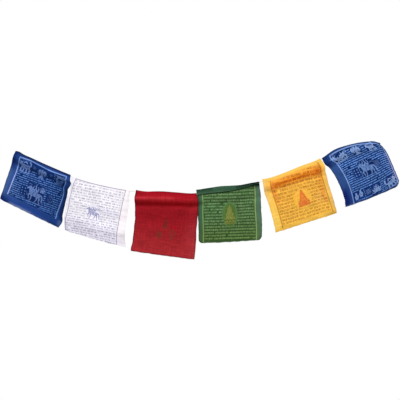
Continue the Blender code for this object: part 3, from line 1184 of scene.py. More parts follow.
    def build_threads(self, extra: Sequence[tuple[float, float, float, float]] = ()) -> bpy.types.Object:
        """Make the loose ends that fray from the cut side and bottom edges.

        Args:
            extra: threads of their own, each as share across, share down, and its run in x and z.

        Returns:
            The threads, as one piece.
        """
        rng = np.random.default_rng(self.seed + 7)
        starts = [(0.0, down, -1.0, -0.6) for down in rng.uniform(0.12, 0.97, 9)]
        starts += [(1.0, down, 1.0, -0.6) for down in rng.uniform(0.12, 0.97, 9)]
        starts += [(across, 1.0, rng.uniform(-0.5, 0.5), -1.4) for across in rng.uniform(0.03, 0.97, 12)]
        runs = [(a, d, x * rng.uniform(0.6, 1.7), z * rng.uniform(0.6, 1.7)) for a, d, x, z in starts]
        curve = new_curve(self.name + "_threads", self.THREAD_RADIUS, 0)
        for across, down, run_x, run_z in runs + list(extra):
            start = self.hung(np.array([across]), np.array([down]))[0]
            start[1] -= self.hem_side.value * self.LOOP_HALF_WIDE
            steps = np.linspace(-0.3, 1, 7)
            bend = rng.uniform(-0.8, 0.8, 2)
            x = start[0] + run_x * steps + bend[0] * 0.5 * steps**2
            z = start[2] + run_z * steps - 0.5 * np.clip(steps, 0, 1) ** 2
            y = start[1] + bend[1] * steps**2
            add_thread(curve, x, y, z)
        mesh = curve_mesh(curve, self.name + "_threads")
        mesh.shade_smooth()
        mesh.materials.append(sewing_thread(self.slot + "_loose_thread", self.finish.cloth))
        return new_object(self.name + "_frayed_threads", mesh)

    def build(self, carrier: bpy.types.Object, tails: Sequence = ()) -> None:
        """Make the flag's pieces and tie them to the frame.

        Args:
            carrier: the cord that the flag hangs on; not used.
            tails: longer loose threads of its own.
        """
        cloth = self.build_cloth()
        stitches = self.build_stitches()
        threads = self.build_threads(tails)
        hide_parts(self.node)
        for piece in (cloth, stitches, threads):
            tie(piece, self.slot)


def smooth_marks(marks: tuple[Mark, ...], wanted: Grid) -> Grid:
    """The edge of the print at each wanted share, read along its marks, level beyond the last ones.

    Args:
        marks: the points that the edge passes.
        wanted: the shares to read.

    Returns:
        The edge's place at each share.
    """
    table = np.array(marks, dtype=float)
    held = np.clip(np.ravel(wanted), table[0, 0], table[-1, 0])
    return smooth_through(table[:, 0], table[:, 1], held).reshape(np.shape(wanted))


def finished(shape: bmesh.types.BMesh, name: str) -> bpy.types.Mesh:
    """A new mesh with the shape, which is then freed.

    Args:
        shape: the shape.
        name: the mesh's name.

    Returns:
        The mesh.
    """
    mesh = bpy.data.meshes.new(name)
    shape.to_mesh(mesh)
    shape.free()
    return mesh


def new_curve(name: str, radius: float, resolution: int) -> bpy.types.Curve:
    """An empty curve that is round, with this radius in millimetres, and closed at its ends.

    Args:
        name: the curve's name.
        radius: its radius in millimetres.
        resolution: how round it is.

    Returns:
        The curve.
    """
    curve = bpy.data.curves.new(name, "CURVE")
    curve.dimensions = "3D"
    curve.bevel_depth = radius * MM
    curve.bevel_resolution = resolution
    curve.use_fill_caps = True
    return curve


def add_thread(curve: bpy.types.Curve, x: Grid, y: Grid, z: Grid) -> None:
    """Add one line of points to a curve, from millimetres.

    Args:
        curve: the curve.
        x: the points' places along X.
        y: their places along Y.
        z: their heights.
    """
    spline = curve.splines.new("POLY")
    spline.points.add(len(x) - 1)
    places = np.column_stack((x, y, z, np.full_like(x, 1 / MM))) * MM
    spline.points.foreach_set("co", places.ravel())


def tie(piece: bpy.types.Object, slot: str) -> None:
    """Fix a piece to the frame's one body, and report it.

    Args:
        piece: the piece.
        slot: the name of its slot; not used.
    """
    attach(piece, "root")
    LOG.info("%s has %d faces", piece.name, len(piece.data.polygons))


def new_object(name: str, mesh: bpy.types.Mesh) -> bpy.types.Object:
    """A new object at the origin, in the scene.

    Args:
        name: the object's name.
        mesh: its mesh or curve.

    Returns:
        The object.
    """
    made = bpy.data.objects.new(name, mesh)
    bpy.context.scene.collection.objects.link(made)
    return made


def curve_mesh(curve: bpy.types.Curve, name: str) -> bpy.types.Mesh:
    """The mesh of a curve, with its caps joined to its sides.

    Args:
        curve: the curve.
        name: the mesh's name.

    Returns:
        The mesh.
    """
    draft = new_object(name + "_draft", curve)
    depsgraph = bpy.context.evaluated_depsgraph_get()
    mesh = bpy.data.meshes.new_from_object(draft.evaluated_get(depsgraph))
    bpy.data.objects.remove(draft, do_unlink=True)
    shape = bmesh.new()
    shape.from_mesh(mesh)
    bmesh.ops.remove_doubles(shape, verts=shape.verts, dist=0.000005)
    shape.to_mesh(mesh)
    shape.free()
    mesh.name = name
    return mesh


def sewing_thread(name: str, hex_colour: str) -> bpy.types.Material:
    """Matt spun cotton thread, with fine twist marks that the eye sees as small dark ticks.

    Args:
        name: the material's name.
        hex_colour: its sRGB colour.

    Returns:
        The material.
    """
    material, tree, shader = new_material(name)
    place = add(tree, "TexCoord", out=3)
    grain = add(tree, "TexNoise", {"Vector": place, "Scale": 2200.0, "Detail": 2.0})
    tone = add(tree, "MapRange", (grain, 0.3, 0.7, 0.72, 1.12))
    shades = add(tree, "CombineXYZ", (tone, tone, tone))
    colour = add(tree, "VectorMath", (linear(hex_colour)[:3], shades), operation="MULTIPLY")
    tree.links.new(colour, shader.inputs["Base Color"])
    rough = add(tree, "MapRange", (grain, 0.3, 0.7, 0.95, 0.8))
    tree.links.new(rough, shader.inputs["Roughness"])
    shader.inputs["Specular IOR Level"].default_value = 0.2
    return material


@dataclass
class HeaderCord:
    """The cord that carries the flags: three strands of undyed cotton, twisted."""

    length_x: float = 1021.0
    strand: float = 0.42
    offset: float = 0.38
    lay: float = 5.2
    steps_per_turn: int = 10

    def build(self) -> bpy.types.Object:
        """Make the strands along the cord's line and tie them to the frame.

        Returns:
            The cord.
        """
        turns = self.length_x / self.lay
        along = np.linspace(0, self.length_x, int(turns * self.steps_per_turn))
        height = cord_height(along)
        run = np.column_stack((np.gradient(along), np.gradient(height)))
        run /= np.linalg.norm(run, axis=1)[:, None]
        curve = new_curve("twisted_cord", self.strand, 1)
        for start in (0, 1, 2):
            angle = 2 * np.pi * (along / self.lay + start / 3)
            up = self.offset * np.sin(angle)
            x = along - run[:, 1] * up
            z = height + run[:, 0] * up
            add_thread(curve, x, self.offset * np.cos(angle), z)
        mesh = curve_mesh(curve, "twisted_cord")
        mesh.shade_smooth()
        mesh.materials.append(sewing_thread("undyed_twisted_cotton", "#f4f1ea"))
        cord = new_object("twisted_cord", mesh)
        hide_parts("header_cord")
        tie(cord, "cord_cotton")
        return cord


@dataclass
class Studio:
    """The camera at the photograph's angle, the soft lights and the pale floor."""

    lens: float = 120.0
    sensor: float = 36.0
    aim_x: float = 516.9
    aim_z: float = -135.5
    floor_z: float = -1.2
    key_from: tuple[float, float, float] = (-0.25, -1.75, 1.95)
    key_size: float = 1.5
    key_watts: float = 70.0
    fill_from: tuple[float, float, float] = (0.9, -2.6, -0.1)
    fill_size: float = 1.8
    fill_watts: float = 3.0
    sky: float = 0.22

    def build(self) -> None:
        """Make the camera, the lights, the world and the floor."""
        scene = bpy.context.scene
        scene.view_settings.view_transform = "Standard"
        distance = self.lens / self.sensor * PHOTO_WIDTH_MM * MM
        target = Vector((self.aim_x * MM, 0.0, self.aim_z * MM))
        camera_data = bpy.data.cameras.new("camera")
        camera_data.lens = self.lens
        camera_data.sensor_width = self.sensor
        camera = bpy.data.objects.new("camera", camera_data)
        camera.location = target + Vector((0.0, -distance, 0.0))
        camera.rotation_euler = (np.pi / 2, 0.0, 0.0)
        scene.collection.objects.link(camera)
        scene.camera = camera
        self.light("key_light", target + Vector(self.key_from), target, self.key_size, self.key_watts)
        self.light("fill_light", target + Vector(self.fill_from), target, self.fill_size, self.fill_watts)
        self.world()
        self.floor()

    def light(self, name: str, place: Vector, target: Vector, size: float, watts: float) -> None:
        """One square soft light that faces the target.

        Args:
            name: the light's name.
            place: where it stands.
            target: what it faces.
            size: its side in metres.
            watts: its power.
        """
        data = bpy.data.lights.new(name, "AREA")
        data.size = size
        data.energy = watts
        lamp = bpy.data.objects.new(name, data)
        lamp.location = place
        lamp.rotation_euler = (target - place).to_track_quat("-Z", "Y").to_euler()
        bpy.context.scene.collection.objects.link(lamp)

    def world(self) -> None:
        """A white backdrop that lights the string only softly."""
        world = bpy.data.worlds.new("studio")
        world.use_nodes = True
        bpy.context.scene.world = world
        tree = world.node_tree
        seen = add(tree, "LightPath")
        strength = add(tree, "MapRange", (seen, 0.0, 1.0, self.sky, 1.0))
        tree.nodes["Background"].inputs["Color"].default_value = (1.0, 1.0, 1.0, 1.0)
        tree.links.new(strength, tree.nodes["Background"].inputs["Strength"])

    def floor(self) -> None:
        """A plain pale floor, well below the string."""
        shape = bmesh.new()
        centre = Matrix.Translation((self.aim_x * MM, -0.5, self.floor_z))
        bmesh.ops.create_grid(shape, x_segments=1, y_segments=1, size=3.0, matrix=centre)
        mesh = finished(shape, "floor")
        material, tree, shader = new_material("matt_white_studio_paper")
        place = add(tree, "TexCoord", out=3)
        grain = add(tree, "TexNoise", {"Vector": place, "Scale": 60.0, "Detail": 4.0})
        rough = add(tree, "MapRange", (grain, 0.0, 1.0, 0.85, 0.95))
        tree.links.new(rough, shader.inputs["Roughness"])
        shader.inputs["Base Color"].default_value = linear("#f2f1ef")
        mesh.materials.append(material)
        new_object("floor", mesh)


LEFT_BLUE = Flag(
    name="flag_1_cloth", slot="blue_cotton_left", node="flag_1_blue", cord_from=0.0, cord_to=153.7,
    cut_wide=176, cut_long=163, bottom_sag=0.0, seed=101,
    sections=table(
        Section, (0.07, -4.6, -9.6, 153.8, -78.9, 0.5, 1, 1), (0.18, -9.0, -25.0, 155.2, -93.4, 1, 2, 2),
        (0.21, -10.0, -29.2, 152.8, -98.4, 1, 2, 3), (0.25, -11.2, -34.7, 148.6, -105.0, 1, 2, 4),
        (0.32, -13.4, -44.0, 147.0, -114.8, 1, 2, 5), (0.5, -21.6, -67.8, 141.2, -141.1, 2, 4, 2),
        (0.75, -32.2, -100.8, 132.8, -177.5, 3, 5, 2), (0.92, -38.9, -122.1, 130.4, -200.5, 5, 5, 5),
        (1.0, -42.8, -133.0, 121.5, -213.4, 6, 5, 3),
    ),
    hem=table(Hem, (0.0, 0.8), (0.12, 2.2), (0.5, 2.3), (1.0, 2.9)),
    folds=table(
        Fold, (0.0, 0.11, 0.95, 0.12, 22, 5), (0.0, 0.22, 0.9, 0.25, 14, -4),
        (0.68, 0.04, 0.96, 0.1, 12, 3), (1.0, 0.23, 0.84, 0.36, 14, 4), (0.05, 0.62, 0.95, 0.55, 30, 2),
    ),
    creases=table(
        Fold, (0.74, 0.075, 0.9, 0.115, 5, 1.2), (0.84, 0.155, 1.0, 0.165, 7, -1.8),
        (0.3, 0.86, 0.9, 0.9, 8, 0.8), (0.93, 0.3, 0.99, 0.8, 7, 1.2),
    ),
    finish=BlockPrint(
        cloth="#28488a", ground="#06235e", ink="#6a9cec", frame="#84a2e4", figure="#88aaec",
        second="#9cbaf6", dark="#0a2c68", ground_strength=0.95, ink_strength=0.95, frame_strength=1.0,
        figure_strength=0.72, second_strength=1.0,
    ),
    lines=PrintLines(
        left=table(Mark, (0.04, 0.114), (0.3, 0.112), (0.5, 0.107), (0.7, 0.098), (0.83, 0.088)),
        right=table(Mark, (0.03, 0.935), (0.15, 0.915), (0.35, 0.938), (0.6, 0.925), (0.9, 0.885)),
        top=table(Mark, (0.1, 0.05), (0.25, 0.03), (0.45, 0.042), (0.65, 0.057), (0.92, 0.035)),
        bottom=table(Mark, (0.1, 0.835), (0.37, 0.855), (0.6, 0.87), (0.9, 0.885)),
    ),
    rows=PrintRows(
        24.3, 0.11, 0.02, 0.02, 0.036, -0.04, -0.06, dash=12.0, gap=0.09, thickness=0.34, roughness=0.18,
        unevenness=0.25, marks=0.45,
    ),
    figures=(
        Figure(LION, 0.232, 0.172, size=1.08, turn=-4, zone_wide=17, zone_tall=15),
        Figure((), 0.475, 0.105, turn=1, zone_wide=32, zone_tall=8, zone_dark=True),
        Figure(SMALL_FLOWER, 0.385, 0.14, zone_wide=8, zone_tall=9, zone_dark=True),
        Figure(BIRD, 0.52, 0.182, size=0.86, zone_wide=14, zone_tall=13, zone_dark=True),
        Figure(SMALL_FLOWER, 0.665, 0.145, size=0.8, zone_wide=9, zone_tall=9, zone_dark=True),
        Figure(DRAGON, 0.815, 0.205, size=0.72, turn=4, zone_wide=15, zone_tall=8, zone_dark=True),
        Figure(HORSE, 0.498, 0.592, size=0.96, turn=-3, zone_wide=25, zone_tall=25),
        Figure(JEWEL_FLAME, 0.602, 0.49, size=1.1, turn=-3),
        Figure(DOT_BLOCK, 0.31, 0.63, turn=-5, zone_wide=9, zone_tall=12.5, zone_dark=True),
        Figure(SHELL_BLOCK, 0.74, 0.575, size=0.85, turn=-5, zone_wide=10, zone_tall=11, zone_dark=True),
        Figure(
            (Chain(((-11, -2.8, 1.5), (11, -0.4, 1.6))), Chain(((-11, 1.3, 1.4), (11, 3.8, 1.6)))),
            0.838, 0.118, ink=Ink.SECOND, zone_wide=13, zone_tall=5,
        ),
    ),
    # Tone of the dye, and painted light: painted shade along the top hem, under the fold at the right edge
    # and over the right part, and painted highlights along the bottom edge and over the lion.
    tone_and_painted_light=table(
        ToneAndPaintedLight, (0.0, 0.3, 0.0, 1.0, 20, "#4a6498", 0.7), (0.02, 0.0, 0.03, 0.26, 25, "#0c2a6a", 1.0),
        (0.15, 0.94, 1.0, 0.96, 20, "#1f408a", 0.9), (0.0, -0.03, 1.0, -0.03, 11, "#10204e", 1.0, 0.85),
        (0.985, 0.28, 0.97, 0.85, 12, "#141c4a", 1.0, 0.8),
        (0.82, 0.225, 1.0, 0.245, 20, "#10225e", 0.9, 0.82),
        (0.32, 0.045, 0.58, 0.055, 9, "#1c3c7c", 0.7, 0.85),
        (0.12, 0.05, 0.115, 0.2, 10, "#1a3a78", 0.6, 0.9),
        (0.0, 0.93, 0.09, 0.99, 22, "#0a246c", 1.0, 0.85),
        (0.16, 1.0, 0.5, 1.0, 8, "#8590ae", 0.7, 1.2), (0.5, 1.0, 0.8, 1.0, 7, "#5a70a4", 0.5, 1.1),
        (0.965, 0.92, 0.975, 0.95, 11, "#6a7eae", 0.7, 1.12),
        (0.76, 0.25, 0.95, 0.27, 40, "#1c4488", 0.4, 0.92),
        (0.23, 0.17, 0.24, 0.18, 24, "#28488a", 0.0, 1.15),
        (1.02, 0.35, 1.0, 0.8, 84, "#163a78", 0.55, 0.82), (0.0, 0.45, 0.15, 0.8, 50, "#3c5a94", 0.3, 1.05),
    ),
    edge_shade=0.35,
)

WHITE = Flag(
    name="flag_2_cloth", slot="white_cotton", node="flag_2_white", cord_from=157.6, cord_to=320.2,
    cut_wide=174, cut_long=173, bottom_sag=1.8, seed=202,
    sections=table(
        Section, (0.2, 154.9, -101.9, 318.6, -142.5, 0, 1, 1), (0.4, 145.2, -131.6, 314.2, -172.5, 1, 2, 1),
        (0.6, 140.6, -160.7, 309.4, -203.3, 2, 3, 2), (0.8, 137.2, -189.8, 306.6, -234.1, 1, 2, 1),
        (1.0, 138.0, -220.6, 308.6, -267.8, -8, -6, -7),
    ),
    hem=table(Hem, (0.0, 1.6), (0.5, 2.4), (1.0, 1.6)),
    folds=table(
        Fold, (0.0, 0.1, 1.0, 0.1, 20, 1.0), (0.0, 0.21, 1.0, 0.2, 14, -0.3),
        (0.0, 0.72, 1.0, 0.74, 26, 2), (0.35, 0.3, 0.62, 0.62, 36, -2),
    ),
    creases=table(
        Fold, (0.1, 0.4, 0.95, 0.47, 16, 0.9), (0.0, 0.84, 1.0, 0.8, 12, 0.8),
    ),
    finish=BlockPrint(
        cloth="#f6f3fb", ground="#f3f0f8", ink="#84819a", frame="#9b95a6", figure="#5c62a8",
        second="#85839c", dark="#e9e6f0", ground_strength=0.4, ink_strength=0.95, frame_strength=0.85,
        figure_strength=0.95, second_strength=0.8, slub=0.05, wear=0.15,
    ),
    lines=PrintLines(
        left=table(
            Mark, (0.0, 0.078), (0.1, 0.045), (0.2, 0.028), (0.35, 0.038), (0.5, 0.045),
            (0.65, 0.035), (0.8, 0.02), (0.95, 0.012), (1.0, 0.018),
        ),
        right=table(Mark, (0.0, 0.93), (0.2, 0.892), (0.4, 0.885), (0.6, 0.88), (1.0, 0.85)),
        top=table(Mark, (0.0, 0.004), (0.5, 0.0), (1.0, -0.008)),
        bottom=table(Mark, (0.0, 1.02), (1.0, 1.02)), width=2.2,
    ),
    rows=PrintRows(
        21.9, 0.058, 0.044, -0.103, 0.076, 0.006, 0.4, dash=13.0, gap=0.18, thickness=0.42, roughness=0.3,
        unevenness=0.45, marks=0.5,
    ),
    figures=(
        Figure(HORSE, 0.448, 0.52, size=0.78, zone_wide=20, zone_tall=20),
        Figure(
            (Chain(((-8, 0, 1.0), (0, -1.6, 1.7), (10, 0.4, 1.5), (16, -1, 0.6))),),
            0.52, 0.445, ink=Ink.SECOND, zone_wide=16, zone_tall=4,
        ),
    # Tone of the dye, and painted light: the top, the right part and the lower part, where the cloth curls
    # back, painted lighter, and a grey band of painted shade along a crease.
    ),
    tone_and_painted_light=table(
        ToneAndPaintedLight, (0.0, 0.9, 1.0, 0.9, 60, "#ece7fa", 0.8, 1.16),
        (0.15, 0.12, 0.85, 0.12, 46, "#f6f3fb", 0.0, 1.06),
        (0.68, 0.3, 0.72, 0.62, 60, "#f6f3fb", 0.0, 1.07), (0.45, 0.43, 0.95, 0.47, 16, "#e4e0f2", 0.6),
        (0.97, 0.0, 0.94, 0.8, 28, "#f8f0f3", 0.8, 1.03),
        (0.95, 0.43, 0.96, 0.47, 10, "#f3e0e2", 0.4), (0.96, 0.86, 0.94, 0.97, 20, "#eae0e6", 0.6),
        (0.0, 0.0, 0.0, 1.0, 7, "#eceaff", 0.6),
    ),
    edge_shade=0.06,
)

RED = Flag(
    name="flag_3_cloth", slot="red_cotton", node="flag_3_red", cord_from=337.0, cord_to=507.6, cut_wide=174,
    cut_long=196, bottom_sag=0.6, seed=303,
    sections=table(
        Section, (0.05, 334.8, -123.2, 510.6, -130.0, 1, 1, 1),
        (0.11, 333.4, -133.0, 512.4, -141.2, 2, 2, 2), (0.2, 334.6, -147.0, 512.2, -156.5, 0, 1, 0),
        (0.4, 335.4, -178.9, 509.6, -191.0, 2, 3, 1), (0.6, 332.4, -212.2, 506.6, -226.5, 3, 4, 1),
        (0.8, 328.8, -244.7, 505.2, -262.6, 4, 3, 1), (1.0, 322.6, -278.0, 501.6, -302.4, 6, 3, 2),
    ),
    hem=table(
        Hem, (0.0, 4.2), (0.06, 2.8), (0.19, 1.2), (0.32, 2.6), (0.42, 3.6), (0.7, 3.2), (1.0, 2.4),
    ),
    folds=table(
        Fold, (0.0, 0.11, 1.0, 0.08, 22, 6), (0.0, 0.22, 1.0, 0.175, 13, -4.5),
        (0.0, 0.58, 1.0, 0.55, 40, 2),
    ),
    creases=table(
        Fold, (0.0, 0.192, 1.0, 0.148, 5, -1.2), (0.05, 0.085, 0.95, 0.052, 5, 0.9),
        (0.15, 0.8, 0.9, 0.84, 12, 0.5),
    ),
    finish=BlockPrint(
        cloth="#a01722", ground="#9a1620", ink="#86141c", frame="#8c121a", figure="#652c20",
        second="#6b2c20", dark="#7e261f", ground_strength=0.4, ink_strength=0.14, frame_strength=0.12,
        figure_strength=0.95, second_strength=0.9, slub=0.34, softness=2.4,
    ),
    lines=PrintLines(
        left=table(Mark, (0.0, 0.08), (1.0, 0.08)), right=table(Mark, (0.0, 0.93), (1.0, 0.93)),
        top=table(Mark, (0.0, 0.09), (1.0, 0.08)), bottom=table(Mark, (0.0, 0.93), (1.0, 0.93)),
    ),
    rows=PrintRows(20.0, 0.03, 0.0, 0.0, 0.0, 0.0, 0.0, dash=12.0, gap=0.2, thickness=0.5),
    figures=(
        Figure(
            (
                Chain(((0, -16, 1.4), (0, -6, 5.0), (-1, 6, 8.0))),
                Chain(((-1, -10, 0.5), (-4, 8, 0.6)), cut=True),
                Chain(((3, -6, 0.5), (5, 9, 0.6)), cut=True),
            ),
            0.505, 0.5, zone_wide=14, zone_tall=18,
        ),
        Figure(
            (Oval(0, 0, 8, 10), Oval(0, 0, 3, 3.6, ring=1.0, cut=True)),
            0.405, 0.68, zone_wide=9, zone_tall=10,
        ),
        Figure(
            (Oval(1, -4, 6, 8, ring=4.0), Chain(((-2, 6, 2.4), (0, 11, 2.4)))),
            0.61, 0.662, ink=Ink.SECOND, zone_wide=10, zone_tall=14,
        ),
    ),
    # Tone of the dye, and painted light: a painted highlight along the ridge of the top fold, the trough
    # under it painted a deeper red, painted shade along the top edge and at the left corners, and the lower
    # part painted lighter.
    tone_and_painted_light=table(
        ToneAndPaintedLight, (0.0, 0.0, 1.0, 0.0, 22, "#a60c1e", 0.8), (0.0, -0.034, 1.0, -0.03, 4, "#6c0a14", 0.8, 0.7),
        (0.0, 0.088, 0.6, 0.065, 8, "#bc3038", 0.7, 1.02),
        (0.0, 0.182, 1.0, 0.144, 13, "#a80008", 1.0, 1.1), (1.0, 0.98, 1.0, 1.0, 16, "#b8545a", 0.6, 1.05),
        (0.0, -0.02, 0.0, 0.02, 10, "#7c0c18", 0.7, 0.85), (0.0, 0.97, 0.0, 1.0, 10, "#8c1420", 0.6, 0.9),
        (0.95, 0.3, 0.95, 1.0, 44, "#aa343c", 0.5, 1.03),
        (0.0, 1.0, 1.0, 1.0, 120, "#ae2f34", 0.65), (0.62, 0.54, 0.66, 0.56, 14, "#b00c1e", 0.7),
        (0.0, 0.33, 1.0, 0.33, 60, "#8c0e1a", 0.8),
    ),
    edge_shade=0.6,
)

GREEN = Flag(
    name="flag_4_cloth", slot="green_cotton", node="flag_4_green", cord_from=508.0, cord_to=682.8,
    cut_wide=176, cut_long=166, bottom_sag=1.4, seed=404, hem_side=HemSide.FRONT,
    sections=table(
        Section, (0.2, 511.6, -146.7, 686.6, -121.5, 1, 1, 1), (0.4, 511.6, -173.6, 687.9, -152.3, 2, 2, 2),
        (0.6, 512.0, -201.0, 689.9, -183.1, 3, 3, 2), (0.8, 512.8, -228.5, 691.0, -215.0, 4, 3, 3),
        (1.0, 512.8, -256.4, 689.6, -247.0, 5, 4, 4),
    ),
    folds=table(
        Fold, (0.0, 0.14, 1.0, 0.13, 18, 2), (0.0, 0.24, 1.0, 0.24, 14, -2), (0.0, 0.6, 1.0, 0.62, 34, 2),
    ),
    creases=table(
        Fold, (0.03, 0.3, 0.03, 0.95, 9, 0.9), (0.96, 0.25, 0.97, 0.95, 9, 0.9),
    ),
    hem=table(
        Hem, (0.0, 12.0, 1.4), (0.08, 10.4, 2.0), (0.2, 9.6, 3.4), (0.4, 9.6, 4.6),
        (0.55, 7.1, 4.8), (0.72, 3.2, 3.8), (0.88, 1.4, 3.0), (1.0, 1.2, 3.0),
    ),
    finish=BlockPrint(
        cloth="#517154", ground="#2c4a1c", ink="#7c9f6a", frame="#8caa6a", figure="#76a06c",
        second="#a39a4c", dark="#4e6a30", ground_strength=0.85, ink_strength=1.0, frame_strength=0.85,
        figure_strength=0.6, second_strength=0.72, wear=0.5,
    ),
    lines=PrintLines(
        left=table(Mark, (0.0, 0.088), (0.3, 0.075), (0.64, 0.077), (1.0, 0.078)),
        right=table(Mark, (0.04, 0.922), (0.36, 0.906), (0.72, 0.908), (1.0, 0.915)),
        top=table(Mark, (0.0, 0.028), (1.0, 0.035)), bottom=table(Mark, (0.0, 0.985), (1.0, 0.985)),
        top_ruled=False, width=3.0,
    ),
    rows=PrintRows(
        18.0, -0.076, 0.115, -0.057, 0.028, -0.122, -0.24, dash=46.0, gap=0.03, thickness=0.42, slant=0.02,
        roughness=0.5, unevenness=0.2, marks=0.5,
    ),
    figures=(
        Figure(MANDORLA, 0.5, 0.48, zone_wide=21, zone_tall=33, zone_dark=True, zone_round=True),
        Figure(SEATED_FORM, 0.5, 0.48, ink=Ink.SECOND),
    ),
    # Tone of the dye, and painted light: painted shade over the hem, at the top right corner, at the bottom
    # corners and along the left edge.
    tone_and_painted_light=table(
        ToneAndPaintedLight, (0.0, -0.1, 1.0, -0.1, 28, "#244632", 1.0, 0.9), (0.28, -0.13, 0.6, -0.1, 9, "#4a765e", 0.5),
        (0.92, 0.0, 1.0, 0.02, 17, "#141f14", 0.95, 0.6), (0.0, 0.98, 0.05, 1.0, 11, "#1f3a26", 0.7, 0.85),
        (0.97, 0.96, 1.0, 0.93, 9, "#1f3a26", 0.6, 0.9), (0.7, -0.03, 1.0, -0.03, 12, "#141f1a", 0.8, 0.6),
        (0.0, 0.05, 0.0, 1.0, 16, "#335a40", 0.9, 0.85),
        (0.06, 0.05, 0.06, 1.0, 10, "#365c3c", 0.6), (1.0, 0.1, 1.0, 1.0, 12, "#56766a", 0.7),
        (0.1, 0.92, 0.9, 0.92, 70, "#4f6a3e", 0.6), (0.25, 0.35, 0.4, 0.4, 50, "#4c785a", 0.3),
    ),
    edge_shade=0.25, corner_tuck=2.6,
)

YELLOW = Flag(
    name="flag_5_cloth", slot="yellow_cotton", node="flag_5_yellow", cord_from=692.7, cord_to=854.6,
    cut_wide=177, cut_long=171, bottom_sag=-1.0, seed=505,
    sections=table(
        Section, (0.1, 694.6, -101.0, 865.2, -37.0, 1, 1, 0), (0.2, 697.6, -115.4, 868.0, -53.2, 1, 2, 1),
        (0.4, 707.8, -143.9, 874.7, -81.8, 2, 2, 1), (0.6, 715.5, -170.8, 883.4, -112.0, 3, 3, 2),
        (0.8, 722.4, -196.6, 892.4, -142.8, 4, 4, 4), (1.0, 728.6, -227.4, 900.8, -172.8, 3, 2, 3),
    ),
    hem=table(
        Hem, (0.0, 5.6), (0.05, 4.6), (0.12, 3.6), (0.2, 2.2), (0.3, 1.2), (0.8, 0.8), (1.0, 2.6),
    ),
    folds=table(
        Fold, (0.0, 0.1, 1.0, 0.12, 20, 4), (0.09, 0.235, 0.94, 0.265, 13, -2.2),
        (0.1, 0.6, 1.0, 0.64, 36, 2),
    ),
    creases=table(
        Fold, (0.12, 0.15, 0.95, 0.2, 6, -0.6), (0.1, 0.92, 0.95, 0.93, 9, 0.7),
    ),
    finish=BlockPrint(
        cloth="#ffcd5c", ground="#f5aa38", ink="#983c04", frame="#bc7c1e", figure="#ffd65c",
        second="#d8482c", dark="#f5b342", ground_strength=0.6, ink_strength=1.0, frame_strength=0.75,
        figure_strength=0.7, second_strength=1.0, slub=0.2, wear=0.2, stipple=0.42,
    ),
    lines=PrintLines(
        left=table(Mark, (0.0, 0.12), (0.2, 0.12), (0.5, 0.118), (0.9, 0.122)),
        right=table(Mark, (0.04, 0.93), (0.2, 0.925), (0.4, 0.93), (0.7, 0.935), (0.95, 0.945)),
        top=table(Mark, (0.0, 0.035), (1.0, 0.03)), bottom=table(Mark, (0.0, 0.955), (1.0, 0.94)),
        top_ruled=False, width=3.2,
    ),
    rows=PrintRows(
        16.1, -0.06, 0.192, 0.054, 0.124, -0.196, 0.73, dash=13.0, gap=0.09, thickness=0.52, roughness=0.4,
        unevenness=0.2, marks=0.4,
    ),
    figures=(
        Figure(ARCH, 0.537, 0.55, size=1.15, zone_wide=25, zone_tall=27, zone_dark=True, zone_round=True),
        Figure(ROBED_CONE, 0.545, 0.55, ink=Ink.SECOND),
    ),
    # Tone of the dye, and painted light: a band of orange painted shade in the crease under the top fold,
    # painted shade along the bottom edge, and the lower part painted lighter.
    tone_and_painted_light=table(
        ToneAndPaintedLight, (0.0, 0.02, 1.0, 0.03, 9, "#fcca62", 0.8), (0.17, 0.13, 0.9, 0.17, 22, "#f68c22", 1.0, 1.03),
        (0.16, 0.07, 0.88, 0.09, 14, "#f4a43c", 0.35), (0.0, 0.03, 0.02, 0.35, 16, "#f6d07c", 0.7),
        (0.97, 0.5, 0.97, 0.8, 14, "#f4c878", 0.5), (0.8, 0.62, 0.88, 0.66, 30, "#fccf7c", 0.4, 1.03),
        (0.92, 0.08, 0.9, 0.3, 14, "#e08a3c", 0.5, 0.95),
        (0.05, 0.08, 0.08, 0.16, 14, "#e89a4c", 0.5, 0.95),
        (0.15, 0.1, 0.15, 0.42, 14, "#ec8a40", 0.6), (0.85, 0.12, 0.86, 0.17, 12, "#e87024", 0.6),
        (0.88, 0.35, 0.88, 0.72, 14, "#ec9a48", 0.6), (0.15, 0.42, 0.85, 0.42, 90, "#f6b040", 0.25),
        (0.25, 0.86, 0.9, 0.86, 44, "#ffcd5a", 0.6, 1.08),
        (0.99, 0.25, 0.98, 0.9, 12, "#e8b660", 0.7), (0.04, 0.55, 0.04, 0.95, 16, "#ffd162", 0.6),
        (0.0, 0.985, 1.0, 0.985, 9, "#eab040", 0.7, 0.96),
        (0.39, 0.45, 0.39, 0.62, 14, "#fbc74a", 0.6), (0.65, 0.45, 0.67, 0.65, 9, "#fcc858", 0.6),
    ),
    edge_shade=0.1,
)

